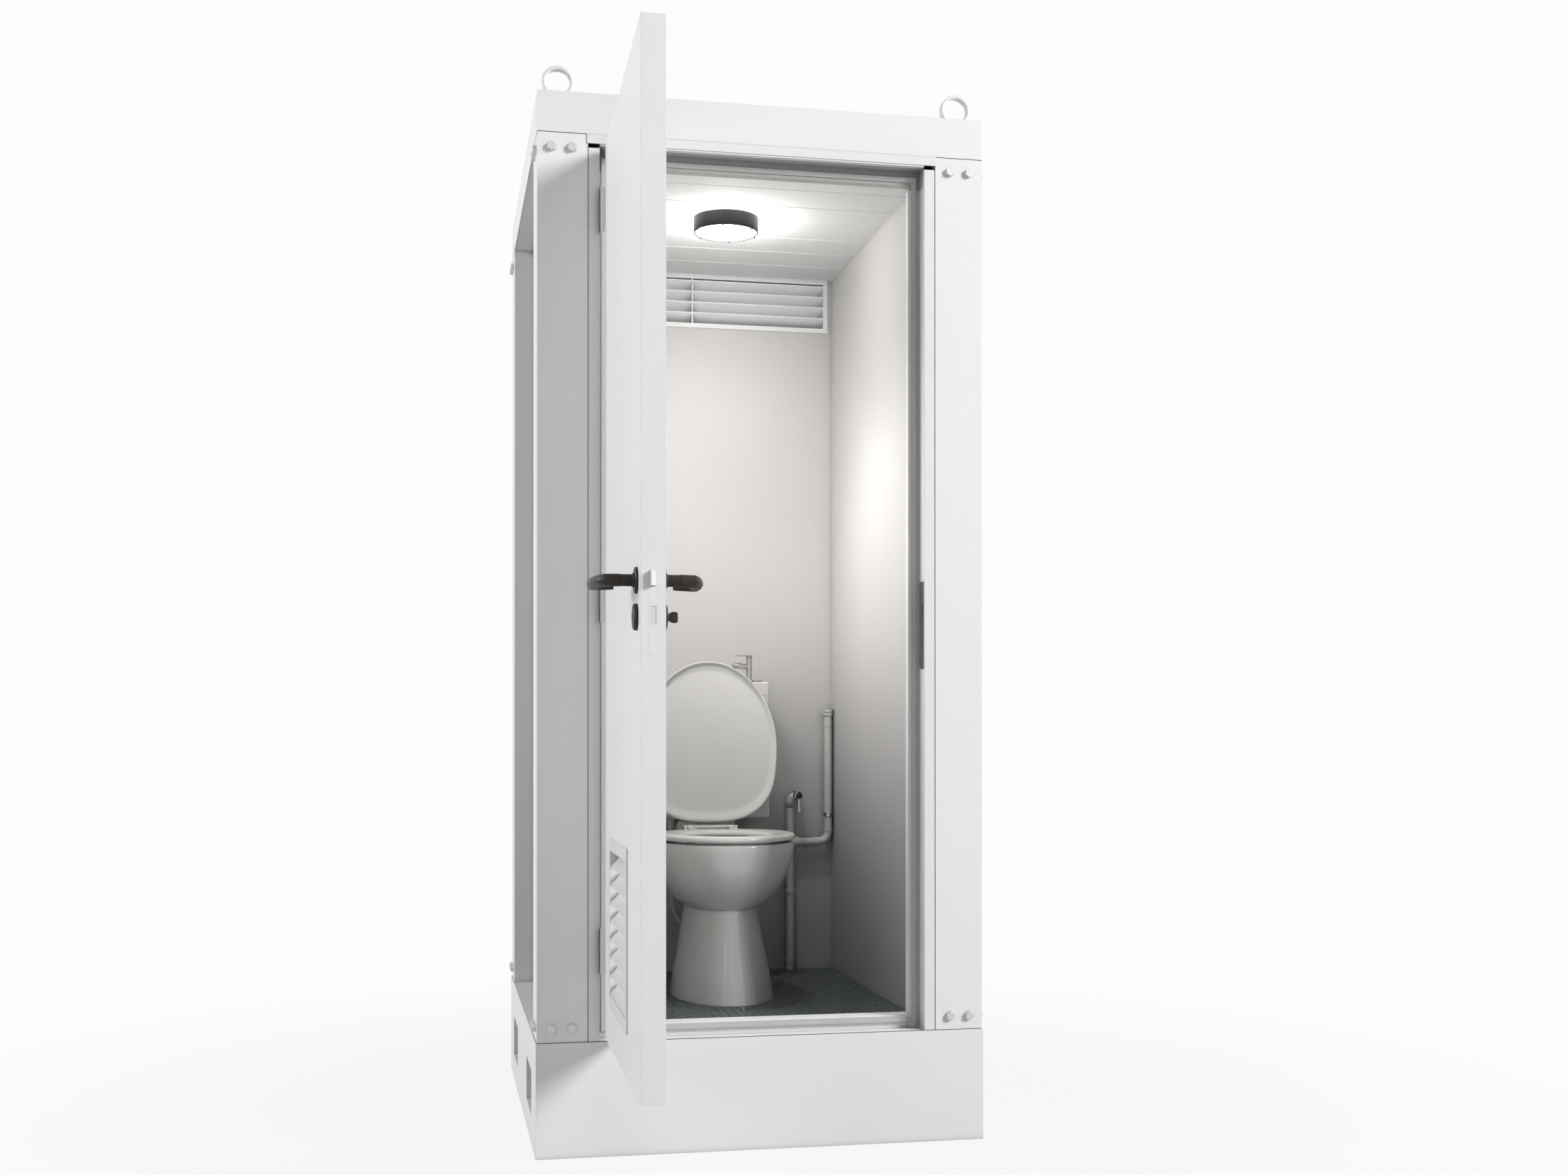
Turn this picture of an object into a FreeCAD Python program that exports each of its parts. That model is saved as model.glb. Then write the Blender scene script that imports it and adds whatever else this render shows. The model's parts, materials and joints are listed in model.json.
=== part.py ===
import FreeCAD, Part
import math
import os

V = FreeCAD.Vector
os.makedirs("parts", exist_ok=True)

# Frame: origin at the centre of the base's underside, front towards -Y, +Z up, millimetres.
# Everything is drawn in the rest pose: door open, seat down, lid up.

# outside
BASE_X = 551.0
BASE_Y = 601.0
BASE_TOP = 273.0
POST_X = 548.5
POST_Y = 598.5
POST_TOP = 2432.0
ROOF_TOP = POST_TOP + 98.0
PLATE = 4.0
FLANGE = 60.0

# fork pockets
FORK_Y = 320.0
FORK_W = 210.0
FORK_Z0 = 68.0
FORK_Z1 = 178.0
FORK_WALL = 5.0

# walls and inside
WALL_OUT = 492.0
WALL_IN = 420.0
REAR_IN = 500.0
REAR_OUT = 572.0
FLOOR_Z = BASE_TOP + 12.0
CEIL_Z = POST_TOP - 32.0
CEIL_TOP = CEIL_Z + 10.0
BOARD_PITCH = 145.0

# door opening
FRAME_EDGE = 428.0
REVEAL_X = 401.0
STOP_X = 372.0
STOP_Y = -552.5
FRAME_BACK = -528.0
HEAD_Z = POST_TOP - 26.0
HEAD_STOP_Z = HEAD_Z - 35.0
SHEET = 2.0

# door leaf, drawn closed and then turned to its rest pose
LEAF_X = 396.0
LEAF_Y0 = -606.0
LEAF_Y1 = -556.0
LEAF_Z0 = BASE_TOP + 15.0
LEAF_Z1 = HEAD_Z - 6.0
SKIN = 1.2
PIN = V(-398.5, -615.0, 0.0)
OPEN_ANGLE = 90.8
HINGE_Z = (490.0, 1323.0, 2250.0)
HINGE_H = 106.0
BARREL_R = 4.0
PIN_R = 2.0
PIN_GAP = 0.05

# lock and handles
SPINDLE_X = 336.0
LOCK_Y = 0.5 * (LEAF_Y0 + LEAF_Y1)
LEVER_Z = 1307.0
TURN_Z = LEVER_Z - 72
CASE_Z0 = TURN_Z - 58
CASE_Z1 = LEVER_Z + 55
FACE_Z0 = TURN_Z - 78
FACE_Z1 = LEVER_Z + 75
ROSETTE_R = 26.5

# door vent
VENT_X0 = -229.0
VENT_X1 = 121.0
VENT_Z0 = 412.0
VENT_PITCH = 41.0
VENT_COUNT = 8
VENT_FLANGE = 28.0

# toilet
SEAT_AXIS_Y = 232.0
SEAT_AXIS_Z = 736.0
SEAT_Z0 = 717.0
SEAT_Z1 = 735.0
LID_ANGLE = 94.0
RIM_Z = 714.0
PED_TOP = 536.0
WASTE_Y = 150.0
CIST_X = 188.0
CIST_Y0 = 300.0
CIST_Y1 = 490.0
CIST_Z0 = 755.0
CIST_Z1 = 1149.0
COVER_T = 8.0
BASIN_Z = CIST_Z1 + COVER_T
DISH_Z = BASIN_Z - 67
SPOUT_Z = BASIN_Z + 46
TAP_X = 145.0
TAP_Y = 410.0
FILL_X = -100.0
FILL_Y = 350.0
FLUSH_Y = 420.0

# pipes
PIPE_R = 12.5
PIPE_Y = 475.0
SUPPLY_X = 284.0
RISER_X = 403.0
RUN_Z = 675.0


def box(x0, x1, y0, y1, z0, z1):
    return Part.makeBox(x1 - x0, y1 - y0, z1 - z0, V(x0, y0, z0))


def rod(x, y, z, axis, r, length):
    return Part.makeCylinder(r, length, V(x, y, z), V(*axis))


def ring(x, y, z, axis, r_out, r_in, length):
    return rod(x, y, z, axis, r_out, length).cut(rod(x, y, z, axis, r_in, length))


def fuse(*shapes):
    return shapes[0].multiFuse(list(shapes[1:])).removeSplitter()


def cut(shape, *tools):
    for tool in tools:
        shape = shape.cut(tool)
    return shape


def mirror_x(shape):
    return shape.mirror(V(0, 0, 0), V(1, 0, 0))


def mirror_y(shape):
    return shape.mirror(V(0, 0, 0), V(0, 1, 0))


def both_x(shape):
    return [shape, mirror_x(shape)]


def four(shape):
    return [shape, mirror_x(shape), mirror_y(shape), mirror_y(mirror_x(shape))]


def prism_x(points, x0, x1):
    wire = Part.makePolygon([V(x0, y, z) for y, z in points + points[:1]])
    return Part.Face(wire).extrude(V(x1 - x0, 0, 0))


def prism_y(points, y0, y1):
    wire = Part.makePolygon([V(x, y0, z) for x, z in points + points[:1]])
    return Part.Face(wire).extrude(V(0, y1 - y0, 0))


def prism_z(points, z0, z1):
    wire = Part.makePolygon([V(x, y, z0) for x, y in points + points[:1]])
    return Part.Face(wire).extrude(V(0, 0, z1 - z0))


def edges_along(shape, axis):
    found = []
    for edge in shape.Edges:
        if isinstance(edge.Curve, Part.Line):
            d = edge.tangentAt(edge.FirstParameter)
            if abs(abs(d.dot(V(*axis))) - 1.0) < 1e-6:
                found.append(edge)
    return found


def rounded(shape, r, axis):
    return shape.makeFillet(r, edges_along(shape, axis))


def strips(xo, yo, width, z0, z1):
    return [box(-xo, xo, -yo, -yo + width, z0, z1),
            box(-xo, xo, yo - width, yo, z0, z1),
            box(-xo, -xo + width, -yo + width, yo - width, z0, z1),
            box(xo - width, xo, -yo + width, yo - width, z0, z1)]


def save(node, *shapes):
    solids = []
    for shape in shapes:
        solids.extend(shape.Solids)
    Part.makeCompound(solids).exportStep("parts/%s.step" % node)


def door_pose(shape):
    shape = shape.copy()
    shape.rotate(PIN, V(0, 0, 1), -OPEN_ANGLE)
    return shape


def save_door(node, *shapes):
    save(node, *[door_pose(shape) for shape in shapes])


# bolt places on a post's front and side flanges, for the front left corner
BOLT_IN = (35.0, 84.0)
BOLT_UP = 35.0
BOLT_R = 6.0
BOLT_HOLE = 6.5
TONGUE_H = 72.0
TONGUE_T = 6.0


def bolt_holes(z):
    holes = []
    for d in BOLT_IN:
        holes.append(rod(-550 + d, -POST_Y - 1, z, (0, 1, 0), BOLT_HOLE, 14))
        holes.append(rod(-POST_X - 1, -600 + d, z, (1, 0, 0), BOLT_HOLE, 14))
    return holes


def hexagon(r):
    return [V(r * math.cos(math.radians(60 * k + 30)), r * math.sin(math.radians(60 * k + 30)), 0)
            for k in range(7)]


def bolt():
    # axis along +Z: head below zero, shank above
    corner = 19.0 / math.sqrt(3.0)
    head = Part.Face(Part.makePolygon(hexagon(corner))).extrude(V(0, 0, 7.5))
    head.translate(V(0, 0, -9))
    nut = Part.Face(Part.makePolygon(hexagon(corner))).extrude(V(0, 0, 10))
    nut.translate(V(0, 0, PLATE + TONGUE_T))
    washer = rod(0, 0, -1.5, (0, 0, 1), 12, 1.5)
    shank = rod(0, 0, -2, (0, 0, 1), BOLT_R, 26)
    return fuse(washer, head, shank, nut)


def tongues(z, hole_z):
    # two plates behind a post's front and side flanges
    front = box(-544.5, -436, -594.5, -588.5, z, z + TONGUE_H)
    side = box(-544.5, -538.5, -588.5, -466, z, z + TONGUE_H)
    return [cut(plate, *bolt_holes(hole_z)) for plate in (front, side)]


# base frame: folded channel perimeter, cross member and joists welded in
base = []
pocket_y0 = FORK_Y - FORK_W / 2 - FORK_WALL
pocket_y1 = FORK_Y + FORK_W / 2 + FORK_WALL
pocket_z0 = FORK_Z0 - FORK_WALL
pocket_z1 = FORK_Z1 + FORK_WALL
web_end = BASE_Y - PLATE
for s in (-1, 1):
    base.append(box(-BASE_X, BASE_X, min(s * BASE_Y, s * web_end), max(s * BASE_Y, s * web_end), 0, BASE_TOP))
    x0, x1 = sorted((s * BASE_X, s * (BASE_X - PLATE)))
    base.append(box(x0, x1, -web_end, web_end, 0, pocket_z0))
    base.append(box(x0, x1, -web_end, web_end, pocket_z1, BASE_TOP))
    for y0, y1 in ((-web_end, -pocket_y1), (-pocket_y0, pocket_y0), (pocket_y1, web_end)):
        base.append(box(x0, x1, y0, y1, pocket_z0, pocket_z1))
base += strips(BASE_X - PLATE, BASE_Y - PLATE, FLANGE - PLATE, BASE_TOP - PLATE, BASE_TOP)
base += strips(BASE_X - PLATE, BASE_Y - PLATE, FLANGE - PLATE, 0, PLATE)
CROSS_Z = 192.0
cross = box(-491, 491, -40, 40, 0, CROSS_Z)
cross = cross.cut(box(-491, 491, -36, 36, 4, CROSS_Z - 4))
base.append(cross)
for s in (-1, 1):
    base.append(box(min(s * 491, s * 547), max(s * 491, s * 547), -40, 40, PLATE, CROSS_Z))
JOIST_TOP = 252.0
for xc in (-330, -110, 110, 330):
    joist = box(xc - 20, xc + 20, -597, 597, CROSS_Z, JOIST_TOP)
    base.append(joist.cut(box(xc - 17, xc + 17, -597, 597, CROSS_Z + 3, JOIST_TOP - 3)))
for plate in tongues(BASE_TOP, BASE_TOP + BOLT_UP):
    base += four(plate)
save("base_frame", *base)

pockets = []
for s in (-FORK_Y, FORK_Y):
    outer = box(-BASE_X, BASE_X, s - FORK_W / 2 - FORK_WALL, s + FORK_W / 2 + FORK_WALL,
                FORK_Z0 - FORK_WALL, FORK_Z1 + FORK_WALL)
    inner = box(-BASE_X, BASE_X, s - FORK_W / 2, s + FORK_W / 2, FORK_Z0, FORK_Z1)
    pockets.append(outer.cut(inner))
save("fork_pockets", *pockets)

waste_hole = rod(0, WASTE_Y, 0, (0, 0, 1), 56, 400)
supply_hole = rod(SUPPLY_X, PIPE_Y, 0, (0, 0, 1), 14, 400)
save("floor_board", cut(box(-489, 489, -539, 539, JOIST_TOP, BASE_TOP), waste_hole, supply_hole))
save("floor_covering", cut(box(-WALL_IN, WALL_IN, -490, REAR_IN, BASE_TOP, FLOOR_Z),
                           waste_hole, supply_hole))


# corner posts: folded angle with return lips towards the walls and the door frame
def post(front):
    flange = box(-POST_X, -FRAME_EDGE, -POST_Y, -POST_Y + PLATE, BASE_TOP, POST_TOP)
    side = box(-POST_X, -POST_X + PLATE, -POST_Y, -458.5, BASE_TOP, POST_TOP)
    lip = box(-POST_X, -WALL_OUT, -462.5, -458.5, BASE_TOP, POST_TOP)
    depth = FRAME_BACK if front else -REAR_OUT
    inner = box(-FRAME_EDGE - PLATE, -FRAME_EDGE, -POST_Y, depth, BASE_TOP, POST_TOP)
    body = fuse(flange, side, lip, inner)
    return cut(body, *(bolt_holes(BASE_TOP + BOLT_UP) + bolt_holes(POST_TOP - BOLT_UP)))


front_post = post(True)
save("front_posts", *both_x(front_post))
rear_post = mirror_y(post(False))
save("rear_posts", *both_x(rear_post))

# roof frame
roof = strips(POST_X, POST_Y, PLATE, POST_TOP, ROOF_TOP)
roof += strips(POST_X - PLATE, POST_Y - PLATE, 76, POST_TOP, POST_TOP + PLATE)
roof += strips(POST_X - PLATE, POST_Y - PLATE, 36, ROOF_TOP - PLATE, ROOF_TOP)
gusset = box(-508.5, -440, -558.5, -500, ROOF_TOP - PLATE, ROOF_TOP)
roof += four(gusset)
for plate in tongues(POST_TOP - TONGUE_H, POST_TOP - BOLT_UP):
    roof += four(plate)
save("roof_frame", *roof)

# roof sheet: pressed ribs across the roof
ROOF_SHEET_Z = ROOF_TOP - 30.0
RIB_PITCH = 198.0
top_line = []
for k in range(6):
    y = -594.5 + RIB_PITCH * k
    top_line += [(y, 0.0), (y + 60, 0.0), (y + 75, 16.0), (y + 123, 16.0), (y + 138, 0.0)]
top_line.append((594.5, 0.0))
profile = [(a, ROOF_SHEET_Z + h + 1.5) for a, h in top_line]
profile += [(a, ROOF_SHEET_Z + h) for a, h in reversed(top_line)]
cleaned = []
for point in profile:
    if not cleaned or math.dist(point, cleaned[-1]) > 1e-6:
        cleaned.append(point)
save("roof_sheet", prism_x(cleaned, -544.5, 544.5))

save("ceiling_battens", *[box(xc - 20, xc + 20, FRAME_BACK, REAR_IN, CEIL_TOP, POST_TOP)
                          for xc in (-300, 0, 300)])
boards = []
edges = [FRAME_BACK] + [-372 + BOARD_PITCH * k for k in range(6)] + [REAR_IN]
for a, b in zip(edges[:-1], edges[1:]):
    board = box(-WALL_IN, WALL_IN, a + 0.5, b - 0.5, CEIL_Z, CEIL_TOP)
    low = [e for e in edges_along(board, (1, 0, 0)) if e.BoundBox.ZMax < CEIL_Z + 1]
    boards.append(board.makeChamfer(2.0, low))
save("ceiling_boards", *boards)

# bolts at the eight corners
bolts = []
for z in (BASE_TOP + BOLT_UP, POST_TOP - BOLT_UP):
    for d in BOLT_IN:
        front_bolt = bolt()
        front_bolt.rotate(V(0, 0, 0), V(1, 0, 0), -90)
        front_bolt.translate(V(-550 + d, -POST_Y, z))
        bolts += four(front_bolt)
        side_bolt = bolt()
        side_bolt.rotate(V(0, 0, 0), V(0, 1, 0), 90)
        side_bolt.translate(V(-POST_X, -600 + d, z))
        bolts += four(side_bolt)
save("corner_bolts", *bolts)

# lifting eyes
EYE_X = 496.5
EYE_Y = 540.0
EYE_OUT = 38.0
EYE_Z = ROOF_TOP + EYE_OUT + 2.0
EYE_IN = 29.5
EYE_T = 20.0
eye = fuse(rod(-EYE_X, -EYE_Y - EYE_T / 2, EYE_Z, (0, 1, 0), EYE_OUT, EYE_T),
           box(-EYE_X - 25, -EYE_X + 25, -EYE_Y - EYE_T / 2, -EYE_Y + EYE_T / 2, ROOF_TOP, EYE_Z - 20))
eye = eye.cut(rod(-EYE_X, -EYE_Y - EYE_T / 2, EYE_Z, (0, 1, 0), EYE_IN, EYE_T))
save("lifting_eyes", *four(eye))

# wall panels: an outer and an inner sheet on studs
LINING = 1.2
STUD_W = 38.0
stud_out = WALL_OUT - LINING
stud_in = WALL_IN + LINING
side_sheets = [box(-WALL_OUT, -stud_out, FRAME_BACK, REAR_IN, BASE_TOP, POST_TOP),
               box(-stud_in, -WALL_IN, FRAME_BACK, REAR_IN, BASE_TOP, POST_TOP)]
save("left_wall", *side_sheets)
save("right_wall", *[mirror_x(sheet) for sheet in side_sheets])
WIN_X = 395.0
WIN_Z0 = CEIL_Z - 151.0
WIN_Z1 = CEIL_Z - 12.0
rear_window = box(-WIN_X, WIN_X, REAR_IN, REAR_OUT, WIN_Z0, WIN_Z1)
rear_sheets = [box(-WALL_OUT, WALL_OUT, REAR_IN, REAR_IN + LINING, BASE_TOP, POST_TOP),
               box(-WALL_OUT, WALL_OUT, REAR_OUT - LINING, REAR_OUT, BASE_TOP, POST_TOP)]
save("rear_wall", *[sheet.cut(rear_window) for sheet in rear_sheets])

studs = []
side_mid = (FRAME_BACK + REAR_IN - STUD_W) / 2
for s in (-1, 1):
    x0, x1 = sorted((s * stud_out, s * stud_in))
    for y in (FRAME_BACK, side_mid, REAR_IN - STUD_W):
        studs.append(box(x0, x1, y, y + STUD_W, BASE_TOP + STUD_W, POST_TOP - STUD_W))
    for z in (BASE_TOP, POST_TOP - STUD_W):
        studs.append(box(x0, x1, FRAME_BACK, REAR_IN, z, z + STUD_W))
rear_in = REAR_IN + LINING
rear_out = REAR_OUT - LINING
for z in (BASE_TOP, WIN_Z0 - STUD_W, WIN_Z1):
    studs.append(box(-WALL_OUT, WALL_OUT, rear_in, rear_out, z, min(z + STUD_W, POST_TOP)))
for x in (-WALL_OUT, -STUD_W / 2, WALL_OUT - STUD_W):
    studs.append(box(x, x + STUD_W, rear_in, rear_out, BASE_TOP + STUD_W, WIN_Z0 - STUD_W))
for x0, x1 in ((-WALL_OUT, -WIN_X), (WIN_X, WALL_OUT)):
    studs.append(box(x0, x1, rear_in, rear_out, WIN_Z0, WIN_Z1))
save("wall_studs", *studs)

# rear vent
DIV_X = -14.0
vent_plates = []
for y0, y1 in ((REAR_IN - 3, REAR_IN), (REAR_OUT, REAR_OUT + 3)):
    plate = box(-407, 407, y0, y1, WIN_Z0 - 12, CEIL_Z)
    vent_plates.append(plate.cut(box(-WIN_X + 2, WIN_X - 2, y0, y1, WIN_Z0 + 2, WIN_Z1 - 2)))
collar = box(-WIN_X, WIN_X, REAR_IN, REAR_OUT, WIN_Z0, WIN_Z1)
collar = collar.cut(box(-WIN_X + 2, WIN_X - 2, REAR_IN, REAR_OUT, WIN_Z0 + 2, WIN_Z1 - 2))
divider = box(DIV_X - 2, DIV_X + 2, REAR_IN - 3, REAR_OUT + 3, WIN_Z0 + 1, WIN_Z1 - 1)
save("rear_vent_frame", fuse(collar, divider, *vent_plates))
slats = []
for k in range(4):
    z = 2356.0 - 32.5 * k
    shape = [(498.0, z + 26), (500.0, z + 26), (530.0, z), (530.0, z - 2.5), (528.0, z - 2.5), (498.0, z + 22)]
    outside = [(REAR_IN + REAR_OUT - a, b) for a, b in shape]
    for x0, x1 in ((-WIN_X + 2, DIV_X - 2), (DIV_X + 2, WIN_X - 2)):
        slats.append(prism_x(shape, x0, x1))
        slats.append(prism_x(outside, x0, x1))
save("rear_vent_slats", *slats)

# door frame: pressed rebated section, welded at the head
jamb = [(-FRAME_EDGE, -POST_Y), (-REVEAL_X, -POST_Y), (-REVEAL_X, STOP_Y), (-STOP_X, STOP_Y),
        (-STOP_X, FRAME_BACK), (-FRAME_EDGE, FRAME_BACK)]
head = [(-POST_Y, POST_TOP), (-POST_Y, HEAD_Z), (STOP_Y, HEAD_Z), (STOP_Y, HEAD_STOP_Z),
        (FRAME_BACK, HEAD_STOP_Z), (FRAME_BACK, POST_TOP)]
t = SHEET
jamb_in = [(-FRAME_EDGE + t, -POST_Y + t), (-REVEAL_X - t, -POST_Y + t), (-REVEAL_X - t, STOP_Y + t),
           (-STOP_X - t, STOP_Y + t), (-STOP_X - t, FRAME_BACK - t), (-FRAME_EDGE + t, FRAME_BACK - t)]
head_in = [(-POST_Y + t, POST_TOP - t), (-POST_Y + t, HEAD_Z + t), (STOP_Y + t, HEAD_Z + t),
           (STOP_Y + t, HEAD_STOP_Z + t), (FRAME_BACK - t, HEAD_STOP_Z + t), (FRAME_BACK - t, POST_TOP - t)]
outer = fuse(*(both_x(prism_z(jamb, BASE_TOP, POST_TOP))
               + [prism_x(head, -FRAME_EDGE, FRAME_EDGE)]))
slot = box(-FRAME_EDGE + t, -WALL_IN - 1, FRAME_BACK - t - 1, FRAME_BACK, BASE_TOP + t, POST_TOP - t)
inner = fuse(*(both_x(prism_z(jamb_in, BASE_TOP + t, POST_TOP - t))
               + [prism_x(head_in, -FRAME_EDGE + t, FRAME_EDGE - t)] + both_x(slot)))
frame = outer.cut(inner)
notch = box(-FRAME_EDGE - 1, -REVEAL_X + 1, -POST_Y - 1, -POST_Y + 12, CEIL_Z, CEIL_TOP)
frame = cut(frame, *both_x(notch))
face = box(-FRAME_EDGE - 3, FRAME_EDGE + 3, -POST_Y - 2, -POST_Y, CEIL_TOP, POST_TOP)
latch_hole = box(REVEAL_X - 3, REVEAL_X + 3, LOCK_Y - 9, LOCK_Y + 9, LEVER_Z - 18, LEVER_Z + 18)
bolt_hole = box(REVEAL_X - 3, REVEAL_X + 3, LOCK_Y - 8, LOCK_Y + 8, TURN_Z - 20, TURN_Z + 20)
frame = cut(fuse(frame, face), latch_hole, bolt_hole)
save("door_frame", frame)
strike = box(REVEAL_X - 1.5, REVEAL_X, -597, -557, FACE_Z0 + 10, FACE_Z1)
save("strike_plate", cut(strike, latch_hole, bolt_hole))

sill = fuse(box(-STOP_X, STOP_X, -542, FRAME_BACK, BASE_TOP, 304),
            box(-WALL_IN, WALL_IN, FRAME_BACK, -490, BASE_TOP, 304))
save("door_sill", sill)
SEAL_Y = LEAF_Y1 + 0.2
save("door_seal",
     box(-392, -380, SEAL_Y, STOP_Y, 290, 2379),
     box(380, 392, SEAL_Y, STOP_Y, 290, 2379),
     box(-392, 392, SEAL_Y, STOP_Y, 2379, 2391),
     box(-STOP_X, STOP_X, SEAL_Y, -542, 291, 302))

# hinges: five knuckles each, three on the frame and two on the leaf
frame_leaves = []
door_leaves = []
pins = []
KNUCKLE = HINGE_H / 5.0
for zc in HINGE_Z:
    z0 = zc - HINGE_H / 2
    bore = rod(PIN.x, PIN.y, z0 - 1, (0, 0, 1), PIN_R + PIN_GAP, HINGE_H + 2)
    frame_leaf = box(-REVEAL_X, -REVEAL_X + 1.8, -613, -560, z0, z0 + HINGE_H)
    door_leaf = box(-LEAF_X - 1.8, -LEAF_X, -613, -560, z0, z0 + HINGE_H)
    for k in range(5):
        low = z0 + k * KNUCKLE
        knuckle = rod(PIN.x, PIN.y, low + 0.15, (0, 0, 1), BARREL_R, KNUCKLE - 0.3)
        clear = rod(PIN.x, PIN.y, low - 0.15, (0, 0, 1), BARREL_R + 0.3, KNUCKLE + 0.3)
        if k % 2 == 0:
            frame_leaf = frame_leaf.fuse(knuckle)
            door_leaf = door_leaf.cut(clear)
        else:
            door_leaf = door_leaf.fuse(knuckle)
            frame_leaf = frame_leaf.cut(clear)
    frame_leaves.append(frame_leaf.cut(bore))
    door_leaves.append(door_leaf.cut(bore))
    pins.append(fuse(rod(PIN.x, PIN.y, z0 - 1.0, (0, 0, 1), PIN_R, HINGE_H + 2),
                     rod(PIN.x, PIN.y, z0 + HINGE_H + 0.2, (0, 0, 1), 3.6, 2),
                     rod(PIN.x, PIN.y, z0 - 2.2, (0, 0, 1), 3.6, 2)))
save("hinge_frame_leaves", *frame_leaves)
save_door("hinge_door_leaves", *door_leaves)
save("hinge_pins", *pins)

# door leaf
vent_z1 = VENT_Z0 + VENT_PITCH * VENT_COUNT
mortise = fuse(box(312, 394, LOCK_Y - 9, LOCK_Y + 9, CASE_Z0 - 2, CASE_Z1 + 2),
               box(393, 397, LOCK_Y - 10, LOCK_Y + 10, FACE_Z0, FACE_Z1))
spindle_hole = rod(SPINDLE_X, LEAF_Y0 - 1, LEVER_Z, (0, 1, 0), 11, 52)
turn_hole = rod(SPINDLE_X, LEAF_Y0 - 1, TURN_Z, (0, 1, 0), 9.5, 52)
vent_hole = box(VENT_X0 - 2, VENT_X1 + 2, LEAF_Y0 - 1, LEAF_Y1 + 1, VENT_Z0 - 2, vent_z1 + 2)
leaf_cuts = (mortise, spindle_hole, turn_hole, vent_hole)
in_x = LEAF_X - SKIN
in_y0 = LEAF_Y0 + SKIN
in_y1 = LEAF_Y1 - SKIN
in_z0 = LEAF_Z0 + SKIN
in_z1 = LEAF_Z1 - SKIN
sheets = [box(-LEAF_X, LEAF_X, LEAF_Y0, in_y0, LEAF_Z0, LEAF_Z1),
          box(-LEAF_X, LEAF_X, in_y1, LEAF_Y1, LEAF_Z0, LEAF_Z1),
          box(-LEAF_X, -in_x, in_y0, in_y1, LEAF_Z0, LEAF_Z1),
          box(in_x, LEAF_X, in_y0, in_y1, LEAF_Z0, LEAF_Z1),
          box(-in_x, in_x, in_y0, in_y1, LEAF_Z0, in_z0),
          box(-in_x, in_x, in_y0, in_y1, in_z1, LEAF_Z1)]
save_door("door_skin", *[cut(sheet, *leaf_cuts) for sheet in sheets])

# timber frame between the sheets: stiles, rails, vent trimmers and a lock block
STILE = 55.0
KICK = VENT_Z0 - 2
LOCK_Z0 = FACE_Z0 - 1
LOCK_Z1 = FACE_Z1 + 1
LOCK_X = 311.5
stile_x = in_x - STILE
timbers = [(-in_x, -stile_x, in_z0, in_z1),
           (stile_x, in_x, in_z0, LOCK_Z0),
           (stile_x, in_x, LOCK_Z1, in_z1),
           (-stile_x, stile_x, in_z0, KICK),
           (-stile_x, stile_x, vent_z1 + 2, vent_z1 + 50),
           (-stile_x, stile_x, in_z1 - STILE, in_z1),
           (VENT_X0 - 47, VENT_X0 - 2, KICK, vent_z1 + 2),
           (VENT_X1 + 2, VENT_X1 + 47, KICK, vent_z1 + 2),
           (LOCK_X - 70, LOCK_X, LOCK_Z0, LOCK_Z1),
           (-stile_x, LOCK_X - 70, TURN_Z - 20, TURN_Z + 60)]
save_door("door_core", *[box(x0, x1, in_y0, in_y1, z0, z1) for x0, x1, z0, z1 in timbers])

# door vent
f = VENT_FLANGE
window = box(VENT_X0, VENT_X1, LEAF_Y0 - 5, LEAF_Y1 + 5, VENT_Z0, vent_z1)
vent_frame = fuse(box(VENT_X0 - f, VENT_X1 + f, LEAF_Y0 - 3, LEAF_Y0, VENT_Z0 - f, vent_z1 + f),
                  box(VENT_X0 - 2, VENT_X1 + 2, LEAF_Y0, LEAF_Y1, VENT_Z0 - 2, vent_z1 + 2),
                  box(VENT_X0 - f, VENT_X1 + f, LEAF_Y1, LEAF_Y1 + 2.5, VENT_Z0 - f, vent_z1 + f))
save_door("door_vent_frame", vent_frame.cut(window))
blades = []
for k in range(VENT_COUNT):
    z = VENT_Z0 + VENT_PITCH * k
    shape = [(LEAF_Y0 - 1, z + 2), (LEAF_Y0 + 1, z + 2), (LEAF_Y0 + 31, z + 34), (LEAF_Y0 + 31, z + 37),
             (LEAF_Y0 + 29, z + 37), (LEAF_Y0 - 1, z + 5)]
    blades.append(prism_x(shape, VENT_X0, VENT_X1))
save_door("door_vent_blades", *blades)

# lock
case = box(313, 393, LOCK_Y - 8, LOCK_Y + 8, CASE_Z0, CASE_Z1)
case = fuse(case, box(393, 396, LOCK_Y - 10, LOCK_Y + 10, FACE_Z0, FACE_Z1))
case = cut(case, box(314.5, 391.5, LOCK_Y - 6.5, LOCK_Y + 6.5, CASE_Z0 + 1.5, CASE_Z1 - 1.5),
           box(390, 397, LOCK_Y - 6.2, LOCK_Y + 6.2, LEVER_Z - 15.2, LEVER_Z + 15.2),
           box(390, 397, LOCK_Y - 5.7, LOCK_Y + 5.7, TURN_Z - 17.7, TURN_Z + 17.7),
           rod(SPINDLE_X, LOCK_Y - 10, LEVER_Z, (0, 1, 0), 6.2, 20),
           rod(SPINDLE_X, LOCK_Y - 10, TURN_Z, (0, 1, 0), 5, 20))
save_door("lock_case", case)
nose = [(362, LOCK_Y - 6), (407, LOCK_Y - 6), (407, LOCK_Y - 4), (397, LOCK_Y + 6), (362, LOCK_Y + 6)]
save_door("latch_bolt", prism_z(nose, LEVER_Z - 15, LEVER_Z + 15))
save_door("dead_bolt", box(364, 395.5, LOCK_Y - 5.5, LOCK_Y + 5.5, TURN_Z - 17.5, TURN_Z + 17.5))

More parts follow.
